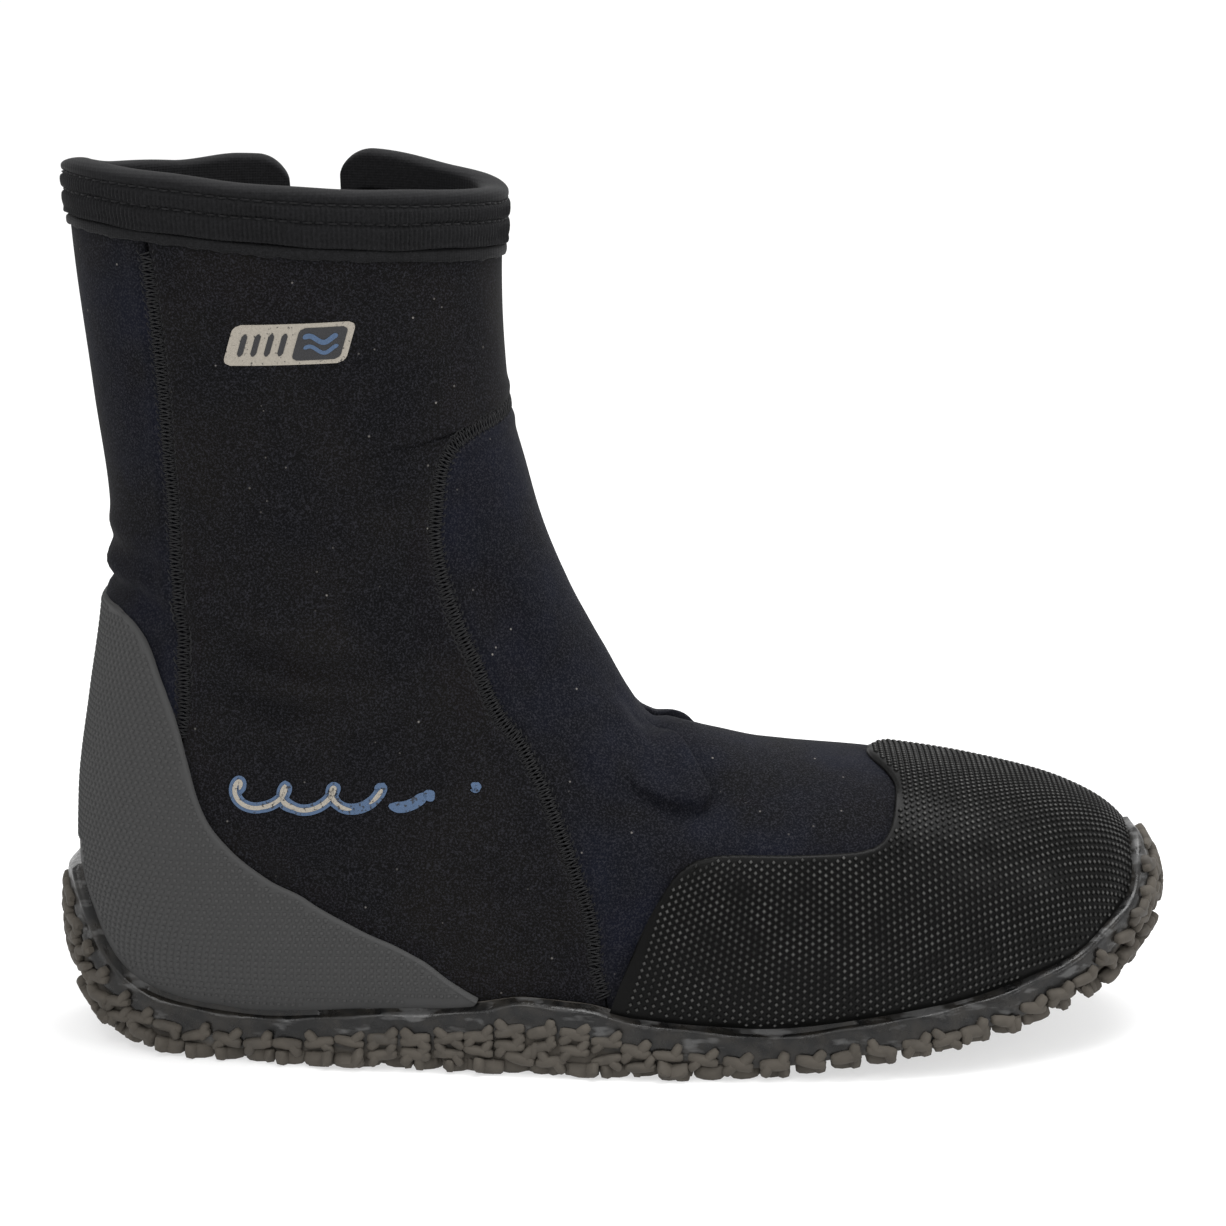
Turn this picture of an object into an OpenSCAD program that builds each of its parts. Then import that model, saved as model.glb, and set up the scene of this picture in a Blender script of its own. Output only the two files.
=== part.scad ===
// Neoprene dive boot for the right foot, with rubber caps, a lugged sole and a side zip.
// +X points to the toe, +Y to the inner side of the foot, where the zip is, and +Z up.
// The tread stands on z = 0. All sizes are millimetres.

/* [Overall] */
// Length of the neoprene upper from heel to toe
upper_length = 282; // [235:1:340]
// Height of the upper's back edge above the floor
shaft_height = 231; // [190:1:280]
// Width of the upper across the ball of the foot
ball_width = 97; // [80:1:117]
// Width of the shaft at its top edge
shaft_width = 84.5; // [70:0.5:102]

/* [Neoprene] */
// Thickness of the foam panels
foam_t = 5; // [3:0.5:7]
// Gap between the cut edges of neighbouring panels
butt_gap = 0.4; // [0.2:0.1:0.8]
// Gap between a panel and what is bonded or sewn on it
bond_gap = 0.3; // [0.2:0.1:0.6]
// Thickness of the footbed
footbed_t = 3; // [2:0.5:6]

/* [Rubber] */
// Thickness of the toe and heel caps
cap_t = 1.4; // [0.8:0.1:2.4]
// Thickness of the outsole under the foot
plate_t = 5; // [3:0.5:8]
// Height of the tread lugs
lug_h = 3; // [2:0.5:5]
// Thickness of the sole's wall at its top edge
wall_t = 3.4; // [2:0.2:5]
// How far the sole's lower edge stands out from its top edge
sole_flare = 1; // [0:0.5:3]
// Length of one tread lug
lug_length = 11; // [8:0.5:13]
// Width of one tread lug
lug_width = 5; // [3:0.5:7]
// Distance from one row of lugs to the next
lug_pitch = 14; // [12:0.5:18]

/* [Collar] */
// Height of the binding on the outside
binding_h = 14.5; // [10:0.5:20]
// Height of the binding on the inside
binding_inner_h = 8; // [5:0.5:12]
// Thickness of the binding tape
binding_t = 1.5; // [0.8:0.1:2.5]
// Height of the welt under the binding
welt_h = 3.2; // [2:0.2:5]
// Width of the sewn seams
seam_w = 4.8; // [3:0.2:7]
// Thickness of the thread that lies on a seam
thread_t = 0.5; // [0.3:0.1:1]

/* [Zip] */
// Width of the gap that the zip closes
zip_gap = 14; // [12:0.5:20]
// Width of each zip tape
tape_w = 13; // [10:0.5:18]
// Thickness of the zip tape
tape_t = 0.8; // [0.5:0.1:1.2]
// Distance from one tooth to the next on the same tape
tooth_pitch = 3.6; // [3:0.1:5]
// Width of the closed row of teeth
chain_w = 9; // [7:0.5:10]
// Thickness of the teeth
tooth_t = 3.6; // [3:0.1:4.5]
// Height of the slider along the zip
slider_h = 14; // [10:1:20]
// Wall thickness of the slider's plates
slider_wall = 1.4; // [1:0.1:1.6]
// Length of the pull tab
pull_length = 24; // [16:1:36]
// Width of the pull tab
pull_w = 8; // [6:0.5:9]
// Diameter of the pull's pin
pin_d = 1.4; // [1:0.1:1.8]
// Distance from the top of the zip line to the first tooth
zip_top_gap = 3; // [2:0.5:10]
// Thickness of the water flap behind the zip
flap_t = 1.5; // [1:0.5:3]

/* [Hidden] */

// The upper is a skin through these sections, from the tip of the toe to the collar.
// Each row holds the x and z of the section's lowest or rearmost point, the x and z of
// its highest or foremost point, its half width on the outer and the inner side, how far
// up its widest point lies, the roundness below and above that, and its sideways shift.
REF_LENGTH = 282;
REF_HEIGHT = 233;
REF_SOLE = 8;
REF_ANKLE = 110;
REF_BALL = 97;
REF_SHAFT = 84.5;
SECTIONS = [
    [141, 40, 141, 40, 0, 0, 0.45, 2.2, 2.2, 9],
    [137, 28, 135, 54, 20, 18, 0.42, 2.4, 2.3, 9],
    [124, 20, 120, 63, 34, 31, 0.36, 2.8, 2.4, 8],
    [100, 14, 97, 69, 44, 41, 0.31, 3.3, 2.4, 6],
    [72, 10, 70, 74, 49, 46, 0.28, 3.6, 2.4, 3],
    [42, 8, 46, 77, 50, 47, 0.26, 3.6, 2.3, 1],
    [10, 8, 28, 80.5, 47, 44, 0.26, 3.6, 2.2, 0],
    [-30, 8, 17, 86, 42, 41.5, 0.28, 3.5, 2.2, 0],
    [-68, 8, 9, 93, 40, 41, 0.31, 3.4, 2.2, 0],
    [-103, 9, 2, 101, 39, 40.5, 0.35, 3.1, 2.2, 0],
    [-130, 18, -5, 110, 38, 40, 0.39, 2.8, 2.2, 0],
    [-140, 40, -11, 120, 38, 40, 0.42, 2.6, 2.2, 0],
    [-141, 66, -16, 131, 37.5, 40, 0.45, 2.4, 2.2, 0],
    [-137.5, 93, -20, 142, 37, 40, 0.47, 2.3, 2.2, 0],
    [-133.5, 120, -23.5, 155, 36.5, 40, 0.48, 2.2, 2.2, 0],
    [-133, 147, -27, 169, 37, 40, 0.49, 2.2, 2.2, 0],
    [-137, 175, -28.8, 187, 38.5, 40.5, 0.5, 2.2, 2.2, 0],
    [-141, 204, -29.5, 206, 40.5, 41, 0.5, 2.2, 2.2, 0],
    [-144, 233, -29, 225, 42.5, 42, 0.5, 2.2, 2.2, 0]
];
TOP = len(SECTIONS) - 1;

sole_h = plate_t + lug_h;
length_k = upper_length / REF_LENGTH;
shaft_k = (shaft_height - sole_h - REF_ANKLE + REF_SOLE) / (REF_HEIGHT - REF_ANKLE);

function mix(a, b, f) = a + (b - a) * f;
function limit(v, low, high) = min(max(v, low), high);
function lifted(z) =
    sole_h - REF_SOLE + (z <= REF_ANKLE ? z : REF_ANKLE + (z - REF_ANKLE) * shaft_k);
function widened(i) =
    mix(ball_width / REF_BALL, shaft_width / REF_SHAFT, limit((i - 6) / 6, 0, 1));
function section(i) = let (r = SECTIONS[i], w = widened(i))
    [r[0] * length_k, lifted(r[1]), r[2] * length_k, lifted(r[3]),
     r[4] * w, r[5] * w, r[6], r[7], r[8], r[9] * w];
// Beyond the toe the sections come back mirrored, so that the tip is round.
function before_tip(r) = [r[2], r[3], r[0], r[1], -r[4], -r[5], r[6], r[7], r[8], r[9]];
RINGS = [
    before_tip(section(1)),
    for (i = [0:TOP]) section(i),
    2 * section(TOP) - section(TOP - 1)
];

// Places on the skin are given as [s, t]: s counts the sections from the toe to the
// collar, and t is the angle round a section in degrees, 0 at the bottom or back,
// 90 on the outer side, 180 on top or in front and 270 on the inner side.
function ring(s) = let (
        i = limit(floor(s), 0, TOP - 1), u = s - i,
        a = RINGS[i], b = RINGS[i + 1], c = RINGS[i + 2], d = RINGS[i + 3])
    0.5 * (2 * b + (c - a) * u + (2 * a - 5 * b + 4 * c - d) * u * u
        + (3 * b - a - 3 * c + d) * u * u * u);
function on_ring(r, t) = let (
        ct = cos(t), st = sin(t), n = ct > 0 ? r[7] : r[8],
        rho = pow(pow(abs(ct), n) + pow(abs(st), n), 1 / n),
        p = r[6] - (ct > 0 ? r[6] : 1 - r[6]) * ct / rho,
        w = st >= 0 ? r[4] : r[5])
    [r[0] + (r[2] - r[0]) * p, r[9] - w * st / rho, r[1] + (r[3] - r[1]) * p];
function skin(s, t) = on_ring(ring(s), t);
function unit(v) = v / norm(v);
function outward(s, t) = let (sc = limit(s, 0.05, TOP - 0.03))
    unit(cross(skin(sc, t + 1) - skin(sc, t - 1), skin(sc + 0.02, t) - skin(sc - 0.02, t)));
function off_skin(s, t, off) = skin(s, t) + off * outward(s, t);
// The same place at two distances from the skin.
function pair(s, t, out, inn) = let (p = skin(s, t), n = outward(s, t))
    [p + out * n, p + inn * n];

// A closed solid between an outer and an inner grid of points. grid[i][j] is a pair,
// and keep(i, j) says whether the cell between rows i, i + 1 and columns j, j + 1 is there.
module sheet(grid, keep = function (i, j) true) {
    rows = len(grid);
    cols = len(grid[0]);
    half = rows * cols;
    function is_in(i, j) = i >= 0 && j >= 0 && i < rows - 1 && j < cols - 1 && keep(i, j);
    points = [for (side = [0, 1]) for (row = grid) for (p = row) p[side]];
    faces = [
        for (i = [0:rows - 2]) for (j = [0:cols - 2]) if (is_in(i, j))
            let (a = i * cols + j, b = a + 1, c = a + cols, d = c + 1)
            each [
                [a, c, d], [a, d, b],
                [a + half, d + half, c + half], [a + half, b + half, d + half],
                if (!is_in(i, j - 1)) each [[c, a, a + half], [c, a + half, c + half]],
                if (!is_in(i, j + 1)) each [[b, d, d + half], [b, d + half, b + half]],
                if (!is_in(i - 1, j)) each [[a, b, b + half], [a, b + half, a + half]],
                if (!is_in(i + 1, j)) each [[d, c, c + half], [d, c + half, d + half]]
            ]
    ];
    polyhedron(points, faces, convexity = 10);
}
function spread(a, b, n) = [for (k = [0:n]) mix(a, b, k / n)];

// Sections where the panels' outlines are sampled, so that neighbours meet evenly.
ROWS = [
    0.06, 0.3, 0.6, 0.95, 1.4, 2, 2.6, 3.3, 4, 4.7, 5.4, 5.9, 6.25, 6.3, 6.42, 6.55, 6.7,
    6.95, 7.2, 7.55, 7.94, 8.3, 8.78, 9.2, 9.42, 9.5, 9.63, 9.9, 10.3, 10.85, 11.35, 11.9, 12.4,
    12.85, 13.27, 13.6, 14.03, 14.5, 14.9, 15.05, 15.12, 15.5, 15.94, 16.4, 16.9, 17.4, 18
];
function rows_between(a, b) = [a, for (s = ROWS) if (s > a + 0.02 && s < b - 0.02) s, b];

// Seams and edges as [s, t] on the outer side. The inner side mirrors them.
SOLE_SEAM = 38;
HEEL_CORNER = 9.9;
REAR_SEAM = [
    [9.9, 38], [10.3, 46], [10.9, 55], [11.6, 59.5], [12.57, 60.5], [13.27, 58],
    [13.85, 54.5], [14.4, 52.3], [15.2, 52.2], [15.94, 54], [16.7, 54.8], [18, 53.5]
];
SEAM_FOOT = 6.3;
ARCH = 15.12;
FRONT_SEAM = [
    [6.25, 38], [6.3, 45], [6.42, 64], [6.7, 95], [7.2, 110], [7.94, 121], [8.78, 128],
    [9.63, 131], [10.85, 131], [11.9, 128.5], [12.85, 126], [13.55, 125], [14.03, 126.5],
    [14.5, 129], [14.9, 135], [15.05, 145], [15.12, 166]
];
SOLE_TOP = [
    [0.86, 160], [0.88, 130], [0.95, 112], [1.07, 100], [1.3, 91], [1.63, 82], [2.07, 70],
    [2.63, 64.5], [3.26, 61], [4.46, 59], [5.06, 56.5], [5.7, 59], [6.24, 61], [6.54, 65],
    [6.78, 67], [7.12, 65], [7.38, 60], [7.94, 55.5], [8.34, 52.5], [8.72, 48], [9.05, 44],
    [9.6, 38], [9.9, 34], [10.3, 30], [10.85, 25], [11.3, 18]
];
HEEL_TAB = 11.3;
TOE_CAP_EDGE = [
    [3.86, 152], [3.9, 142], [3.96, 135], [4.08, 130], [4.34, 127.8], [4.84, 127],
    [5.66, 125.2], [6.02, 122.5], [6.22, 117.2], [6.32, 109], [6.37, 99]
];
TOE_CAP_BACK = 3.86;
HEEL_CAP_EDGE = [
    [7.34, 62], [7.66, 70.2], [8.06, 79.2], [8.56, 84.5], [9.09, 86], [9.63, 85.5],
    [10.15, 81.2], [10.77, 74.2], [11.15, 70.2], [11.63, 66.2], [11.97, 63.8],
    [12.37, 60.5], [13.05, 52.2], [13.61, 42.2], [13.91, 28], [13.97, 16]
];
function rear_seam(s) = s < HEEL_CORNER ? SOLE_SEAM : lookup(s, REAR_SEAM);
function front_seam(s) = s < SEAM_FOOT - 0.05 ? SOLE_SEAM : lookup(s, FRONT_SEAM);
DEG_PER_MM = 1.25;
edge = butt_gap / 2 * DEG_PER_MM;

// The zip runs on a straight line down the inner side, between two places on the skin.
ZIP_TOP = [17.5, 263];
ZIP_END = [9.6, 261.5];
zip_top = skin(ZIP_TOP[0], ZIP_TOP[1]);
zip_end = skin(ZIP_END[0], ZIP_END[1]);
zip_length = norm(zip_end - zip_top);
zip_up = unit(zip_top - zip_end);
zip_out = unit([0, 1, 0] - zip_up[1] * zip_up);
zip_fore = cross(zip_out, zip_up);
// How far in front of the zip line the skin lies at [s, t].
function ahead(s, t) = (skin(s, t) - zip_top) * zip_fore;
// The angle at section s where the skin lies dist in front of the zip line.
function zip_angle(s, dist, low = 181, high = 341, n = 16) = let (mid = (low + high) / 2)
    n == 0 ? mid
    : ahead(s, mid) > dist ? zip_angle(s, dist, mid, high, n - 1)
    : zip_angle(s, dist, low, mid, n - 1);
// Below the zip's end the panels on either side of it meet edge to edge.
function zip_half_gap(s) = s > ZIP_END[0] - 0.12 ? zip_gap / 2 : butt_gap / 2;
SEAM_END = 7.94;
function before_zip(s) = s < SEAM_END ? 360 - SOLE_SEAM
    : min(zip_angle(s, zip_half_gap(s)), 360 - SOLE_SEAM);
function behind_zip(s) = min(zip_angle(s, -zip_half_gap(s)), 360 - SOLE_SEAM - 2) - 360;

// ---- Neoprene panels ----

module back_panel() color("#101217") {
    rows = rows_between(HEEL_CORNER + 0.02, TOP);
    sheet([for (s = rows) let (t = rear_seam(s) - edge)
        [for (a = spread(-t, t, 14)) pair(s, a, 0, -foam_t)]]);
}

// One panel covers the outer side, passes round the front above the vamp and comes
// down the inner side as far as the zip.
SIDE_COLS = 13;
ARCH_COLS = 3;
INNER_COLS = 8;
module shaft_panel() color("#0e0e10") {
    rows = rows_between(SEAM_FOOT, TOP);
    columns = function (s) let (f = front_seam(s) - edge)
        concat(
            spread(rear_seam(s) + edge, f, SIDE_COLS),
            [for (k = [1:ARCH_COLS - 1]) mix(f, 360 - f, k / ARCH_COLS)],
            spread(360 - f, before_zip(s) - edge, INNER_COLS));
    sheet(
        [for (s = rows) [for (a = columns(s)) pair(s, a, 0, -foam_t)]],
        function (i, j) rows[i] > ARCH - 0.01 || j < SIDE_COLS || j >= SIDE_COLS + ARCH_COLS);
}

module inner_rear_panel() color("#0e0e10") {
    rows = rows_between(SEAM_END + 0.1, TOP);
    sheet([for (s = rows)
        [for (a = spread(behind_zip(s) + edge, -rear_seam(s) - edge, 5)) pair(s, a, 0, -foam_t)]]);
}

VAMP_COLS = 34;
module vamp() color("#101014") {
    rows = rows_between(ROWS[0], ARCH - 0.03);
    sheet([for (s = rows) let (t = front_seam(s) + edge)
        [for (a = spread(t, 360 - t, VAMP_COLS)) pair(s, a, 0, -foam_t)]]);
}

module bottom_panel() color("#15151a") {
    rows = rows_between(ROWS[0], HEEL_CORNER - 0.02);
    t = SOLE_SEAM - edge;
    sheet([for (s = rows) [for (a = spread(-t, t, 10)) pair(s, a, 0, -foam_t)]]);
}

FOOTBED_TOE = 1;
FOOTBED_HEEL = 9.5;
FOOTBED_SIDE = 35;
module footbed() color("#26262b") {
    top = -foam_t - bond_gap;
    sheet([for (s = rows_between(FOOTBED_TOE, FOOTBED_HEEL))
        [for (a = spread(-FOOTBED_SIDE, FOOTBED_SIDE, 8)) pair(s, a, top, top - footbed_t)]]);
}

// ---- Rubber ----

// A cap has a wing on each side and a middle that joins them.
WING_COLS = 9;
TOE_MID_COLS = 10;
HEEL_MID_COLS = 4;
function cap_columns(a, b, c, d, mid) = concat(
    spread(a, b, WING_COLS), [for (k = [1:mid - 1]) mix(b, c, k / mid)], spread(c, d, WING_COLS));
function on_wing(j, mid) = j < WING_COLS || j >= WING_COLS + mid;
function sole_top(s) = lookup(s, SOLE_TOP) + bond_gap * DEG_PER_MM * 1.5;

module toe_cap() color("#2b2b2a") {
    rows = concat([0.9], rows_between(0.95, TOE_CAP_BACK),
        [3.9, 3.96, 4.08, 4.34, 4.7, 5.05, 5.4, 5.66, 5.9, 6.05, 6.22, 6.3, 6.37]);
    edge_angle = function (s) s < TOE_CAP_BACK + 0.01 ? max(lookup(s, TOE_CAP_EDGE), sole_top(s) + 8)
        : lookup(s, TOE_CAP_EDGE);
    sheet(
        [for (s = rows) let (a = sole_top(s), b = edge_angle(s))
            [for (t = cap_columns(a, b, 360 - b, 360 - a, TOE_MID_COLS))
                pair(s, t, bond_gap + cap_t, bond_gap)]],
        function (i, j) on_wing(j, TOE_MID_COLS) || rows[i + 1] < TOE_CAP_BACK + 0.01);
}

module heel_cap() color("#2b2b2a") {
    rows = concat([7.42, 7.66, 8.06, 8.56], rows_between(9.09, HEEL_TAB), [HEEL_TAB + 0.08],
        rows_between(11.63, 13.61), [13.8, 13.91, 13.97]);
    low = function (s) s > HEEL_TAB ? lookup(s, HEEL_CAP_EDGE) * 0.3 : sole_top(s);
    sheet(
        [for (s = rows) let (a = low(s), b = lookup(s, HEEL_CAP_EDGE))
            [for (t = cap_columns(-b, -a, a, b, HEEL_MID_COLS))
                pair(s, t, bond_gap + cap_t, bond_gap)]],
        function (i, j) on_wing(j, HEEL_MID_COLS) || rows[i] > HEEL_TAB);
}

// Height of the tread's underside above the floor along the boot.
ROCKER = [
    [-147, 16], [-141, 7], [-132, 3], [-120, 1], [-108, 0], [38, 0], [60, 2.5], [77, 4.5],
    [93, 7.4], [109, 10.5], [125, 15], [141, 25], [148, 34]
];
function rocker(x) = lookup(x / length_k, ROCKER);

// Rows of the outsole: the signed section on its centre line, which is negative above the
// tip of the toe, the section and angle at its top edge, how thick it is on the centre
// line past the plate's thickness, and how far its underside is flat.
SOLE_ROWS = [
    [-0.86, 0.86, 160, -1.6, 0], [-0.6, 0.87, 138, -0.8, 0], [-0.3, 0.93, 114, 0, 0],
    [0, 1.1, 98, 0.6, 0], [0.45, 1.4, 88.5, 0.2, 0], [0.95, 1.7, 80, -0.8, 0.2],
    [1.5, 2.1, 69.5, -1, 0.5], [2.1, 2.6, 64.5, -1, 0.8], [2.8, 3.1, 61.5, 0, 1],
    for (s = [3.6, 4.3, 5, 5.7, 6.2, 6.6, 7, 7.4, 7.8, 8.2, 8.6, 8.95])
        [s, s, lookup(s, SOLE_TOP), 1, 1],
    [9.3, 9.3, 41.5, 2.5, 1], [9.65, 9.65, 37, 4, 1], [10, 10, 33, 5.5, 0.8],
    [10.4, 10.4, 29, 5, 0.4], [10.85, 10.85, 25, 3, 0.1], [HEEL_TAB, HEEL_TAB, 18, 0, 0]
];
TOE_SPREAD = 62;
SOLE_COLS = 8;
FLAT_SHARE = 0.625;
// A place on a sole row, f from -1 to 1 across it, worked out on a disc round the toe.
function sole_place(row, f) =
    row[1] > 3.2 ? [row[1], row[2] * f]
    : let (
        h = (cos(TOE_SPREAD * f) - cos(TOE_SPREAD)) / (1 - cos(TOE_SPREAD)),
        u = mix(row[1] * cos(row[2]), row[0], h),
        v = row[1] * sin(row[2]) * sin(TOE_SPREAD * f) / sin(TOE_SPREAD))
    [norm([u, v]), atan2(v, u)];
sole_gap = 2 * bond_gap;
function sole_outside(row, f) = let (
        q = sole_place(row, f),
        thick = mix(plate_t + row[3], wall_t + sole_gap, pow(abs(f), 2)),
        round_p = off_skin(q[0], q[1], thick),
        tip = sole_place(row, sign(f)),
        top = off_skin(tip[0], tip[1], wall_t + sole_gap),
        mid = off_skin(abs(row[0]), 0, thick),
        foot = [top[0], top[1] - sign(f) * sole_flare, 0],
        g = abs(f) / FLAT_SHARE,
        under = g <= 1 ? mix([mid[0], mid[1], 0], foot, g)
            : mix([foot[0], foot[1], lug_h + rocker(foot[0])], top, (g - 1) / (1 / FLAT_SHARE - 1)),
        flat_p = [under[0], under[1], g <= 1 ? lug_h + rocker(under[0]) : under[2]],
        p = mix(round_p, flat_p, row[4]))
    [p[0], p[1], max(p[2], min(lug_h + rocker(p[0]), skin(q[0], q[1])[2] - 2))];

module outsole() color("#1d1d1b")
    sheet([for (row = SOLE_ROWS) [for (k = [-SOLE_COLS:SOLE_COLS]) let (
            f = k / SOLE_COLS, q = sole_place(row, f))
        [sole_outside(row, f), off_skin(q[0], q[1], sole_gap)]]]);

// Half widths of the tread on the outer and the inner side along the boot.
TREAD_EDGE = [
    [-135, 14, 14], [-127, 22, 23], [-115, 27, 28], [-100, 31, 32], [-82, 35, 36],
    [-50, 39, 40], [-20, 43, 42], [20, 47, 45], [45, 47, 46], [66, 46, 48], [90, 39, 46],
    [105, 33, 42], [120, 22, 34]
];
TREAD_HEEL = -131;
TREAD_TOE = 120;
LUG_TILT = 32;
LUG_EMBED = 0.3;
function tread_half(x, side) =
    lookup(x / length_k, [for (r = TREAD_EDGE) [r[0], r[side]]]) * ball_width / REF_BALL;
module lug_outline() {
    a = lug_length / 2;
    b = lug_width / 2;
    c = lug_width / 4;
    polygon([[-a, -b + c], [-a + c, -b], [a - c, -b], [a, -b + c],
        [a, b - c], [a - c, b], [-a + c, b], [-a, b - c]]);
}
module tread() color("#4b463f") {
    rows = floor((TREAD_TOE - TREAD_HEEL) * length_k / lug_pitch);
    for (i = [0:rows]) {
        x = TREAD_HEEL * length_k + i * lug_pitch;
        low = -tread_half(x, 1) + lug_length / 2;
        high = tread_half(x, 2) - lug_length / 2;
        n = floor((high - low) / lug_pitch);
        if (n >= 0)
            for (k = [0:n]) {
                y = n == 0 ? (low + high) / 2 : mix(low, high, k / n);
                z = max(rocker(x - lug_width / 2), rocker(x + lug_width / 2));
                translate([x, y, z])
                    rotate((i + k) % 2 == 0 ? LUG_TILT : -LUG_TILT)
                        linear_extrude(lug_h + LUG_EMBED)
                            lug_outline();
            }
    }
}

// ---- Collar ----

collar_start = behind_zip(TOP) + 0.5;
collar_end = before_zip(TOP) - 0.5;
COLLAR_STEPS = 44;
function drop(t, h) = TOP - h / norm(skin(TOP, t) - skin(TOP - 1, t));
function collar_up(t) = unit(skin(TOP, t) - skin(TOP - 0.1, t));
function binding_row(t) = let (
        g = bond_gap, b = g + binding_t, p = skin(TOP, t), n = outward(TOP, t), u = collar_up(t),
        low = drop(t, binding_h), low_in = drop(t, binding_inner_h), c = b * 0.75)
    [
        pair(low, t, b, g),
        [p + b * n, p + g * n],
        [p + c * n + c * u, p + g * n + g * u],
        [p - foam_t / 2 * n + b * u, p - foam_t / 2 * n + g * u],
        [p - (foam_t + c) * n + c * u, p - (foam_t + g) * n + g * u],
        [p - (foam_t + b) * n, p - (foam_t + g) * n],
        pair(low_in, t, -foam_t - b, -foam_t - g)
    ];
module collar_binding() color("#0b0b0c")
    sheet([for (t = spread(collar_end, collar_start, COLLAR_STEPS)) binding_row(t)]);

// A band that runs round the collar between two depths under its edge.
module collar_band(from, to, low_off, high_off)
    sheet([for (t = spread(collar_start, collar_end, COLLAR_STEPS))
        [for (h = [from, to]) pair(drop(t, h), t, high_off, low_off)]]);
WELT_T = 1;
module collar_welt() color("#141416")
    collar_band(binding_h + bond_gap, binding_h + bond_gap + welt_h, bond_gap, bond_gap + WELT_T);

// Two lines of stitching hold the binding.
STITCH_DEPTHS = [3.8, 8.4];
STITCH_W = 1;
module binding_stitching() color("#050506")
    for (h = STITCH_DEPTHS)
        collar_band(h, h + STITCH_W, bond_gap * 2 + binding_t, bond_gap * 2 + binding_t + thread_t);

// ---- Seams ----

// A ribbon of even width along a route of places on the skin.
function ribbon(route, half_w, low_off, high_off) = [for (k = [0:len(route) - 1]) let (
        a = route[max(k - 1, 0)], b = route[min(k + 1, len(route) - 1)], q = route[k],
        p = skin(q[0], q[1]), n = outward(q[0], q[1]),
        along = unit(skin(b[0], b[1]) - skin(a[0], a[1])), side = unit(cross(along, n)))
    [for (f = [-1, 0, 1]) let (c = p + f * half_w * side, sag = abs(f) * RIBBON_SAG)
        [c + (high_off - sag) * n, c + (low_off - sag) * n]]];
RIBBON_SAG = 0.05;
SEAM_TOP_H = binding_h + welt_h + 5 * bond_gap;
function mirrored(route) = [for (q = route) [q[0], 360 - q[1]]];
function reversed(list) = [for (k = [len(list) - 1:-1:0]) list[k]];
rear_route = [
    for (s = rows_between(12.75, 17)) [s, rear_seam(s)],
    [drop(rear_seam(TOP), SEAM_TOP_H), rear_seam(17.4)]
];
module seam(route) sheet(ribbon(route, seam_w / 2, bond_gap, bond_gap + thread_t));
module outer_rear_seam() color("#070708") seam(rear_route);
module inner_rear_seam() color("#070708") seam(mirrored(rear_route));
outer_front_route = [
    for (s = [6.5, 6.6, 6.75, 6.95, 7.2, 7.55, 7.94, 8.3, 8.78, 9.2, 9.63, 10.3, 10.85, 11.4,
        11.9, 12.4, 12.85, 13.27, 13.6, 14.03, 14.3, 14.5, 14.7, 14.85, 14.95, 15.03, 15.08])
        [s, lookup(s, FRONT_SEAM)],
    [15.11, 162]
];
module vamp_seam() color("#070708")
    seam(concat(outer_front_route, [[15.13, 171], [15.13, 180], [15.13, 189]],
        reversed(mirrored(outer_front_route))));

// ---- Zip ----

// Moves a child to a place on the zip line, with its Z up the zip and its Y outwards.
module on_zip(down) {
    o = zip_top - down * zip_up;
    multmatrix([
        [zip_fore[0], zip_out[0], zip_up[0], o[0]],
        [zip_fore[1], zip_out[1], zip_up[1], o[1]],
        [zip_fore[2], zip_out[2], zip_up[2], o[2]],
        [0, 0, 0, 1]
    ]) children();
}
// The angle round the collar where the zip meets it.
COLLAR_ZIP = 265;
tape_depth = foam_t + bond_gap;
// The chain sits a little deeper than the tapes, because the skin bows along the zip.
CHAIN_SINK = 0.7;
chain_y = -(tape_depth + tape_t / 2 + CHAIN_SINK);
// The two rows of teeth leave a slot for the slider's middle post.
CHAIN_SLOT = 0.75;
POST_HALF = 0.4;
ZIP_PLAY = 0.5;
FLANGE = 0.6;
DRIFT = 1;
// Height of the stops along the zip, and how far the top ones lie from its line.
stop_h = 3;
STOP_IN = 1.2;
STOP_ROOM = 1.5;
END_ROOM = 4;
first_tooth = zip_top_gap + stop_h + STOP_ROOM;
last_tooth = zip_length - stop_h - END_ROOM;
teeth = floor((last_tooth - first_tooth) / tooth_pitch);
tape_rows = rows_between(ZIP_END[0] + 0.05, drop(COLLAR_ZIP, binding_h));
// How far the tapes' inner edges lie from the zip line.
TAPE_INSET = 2.5;
module zip_tape(side)
    sheet([for (s = tape_rows) let (
            a = zip_angle(s, side * TAPE_INSET), b = zip_angle(s, side * (TAPE_INSET + tape_w)))
        [for (t = spread(max(a, b), min(a, b), 3))
            pair(s, t, -tape_depth - tape_t, -tape_depth)]]);
module zip_tape_front() color("#0a0a0b") zip_tape(1);
module zip_tape_rear() color("#0a0a0b") zip_tape(-1);

TOOTH_SHARE = 0.62;
module zip_teeth(side, shift)
    for (k = [0:teeth - 1])
        on_zip(first_tooth + k * tooth_pitch + shift) {
            w = chain_w / 2 - CHAIN_SLOT;
            h = tooth_pitch * TOOTH_SHARE;
            translate([side > 0 ? CHAIN_SLOT : -CHAIN_SLOT - w, chain_y - tooth_t / 2, -h / 2])
                cube([w, tooth_t, h]);
        }
module zip_teeth_front() color("#17171a") zip_teeth(1, 0);
module zip_teeth_rear() color("#17171a") zip_teeth(-1, tooth_pitch / 2);
module zip_top_stops() color("#17171a")
    for (side = [-1, 1])
        on_zip(zip_top_gap + stop_h / 2)
            translate([side > 0 ? STOP_IN : -chain_w / 2, chain_y - tooth_t / 2, -stop_h / 2])
                cube([chain_w / 2 - STOP_IN, tooth_t, stop_h]);
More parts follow.
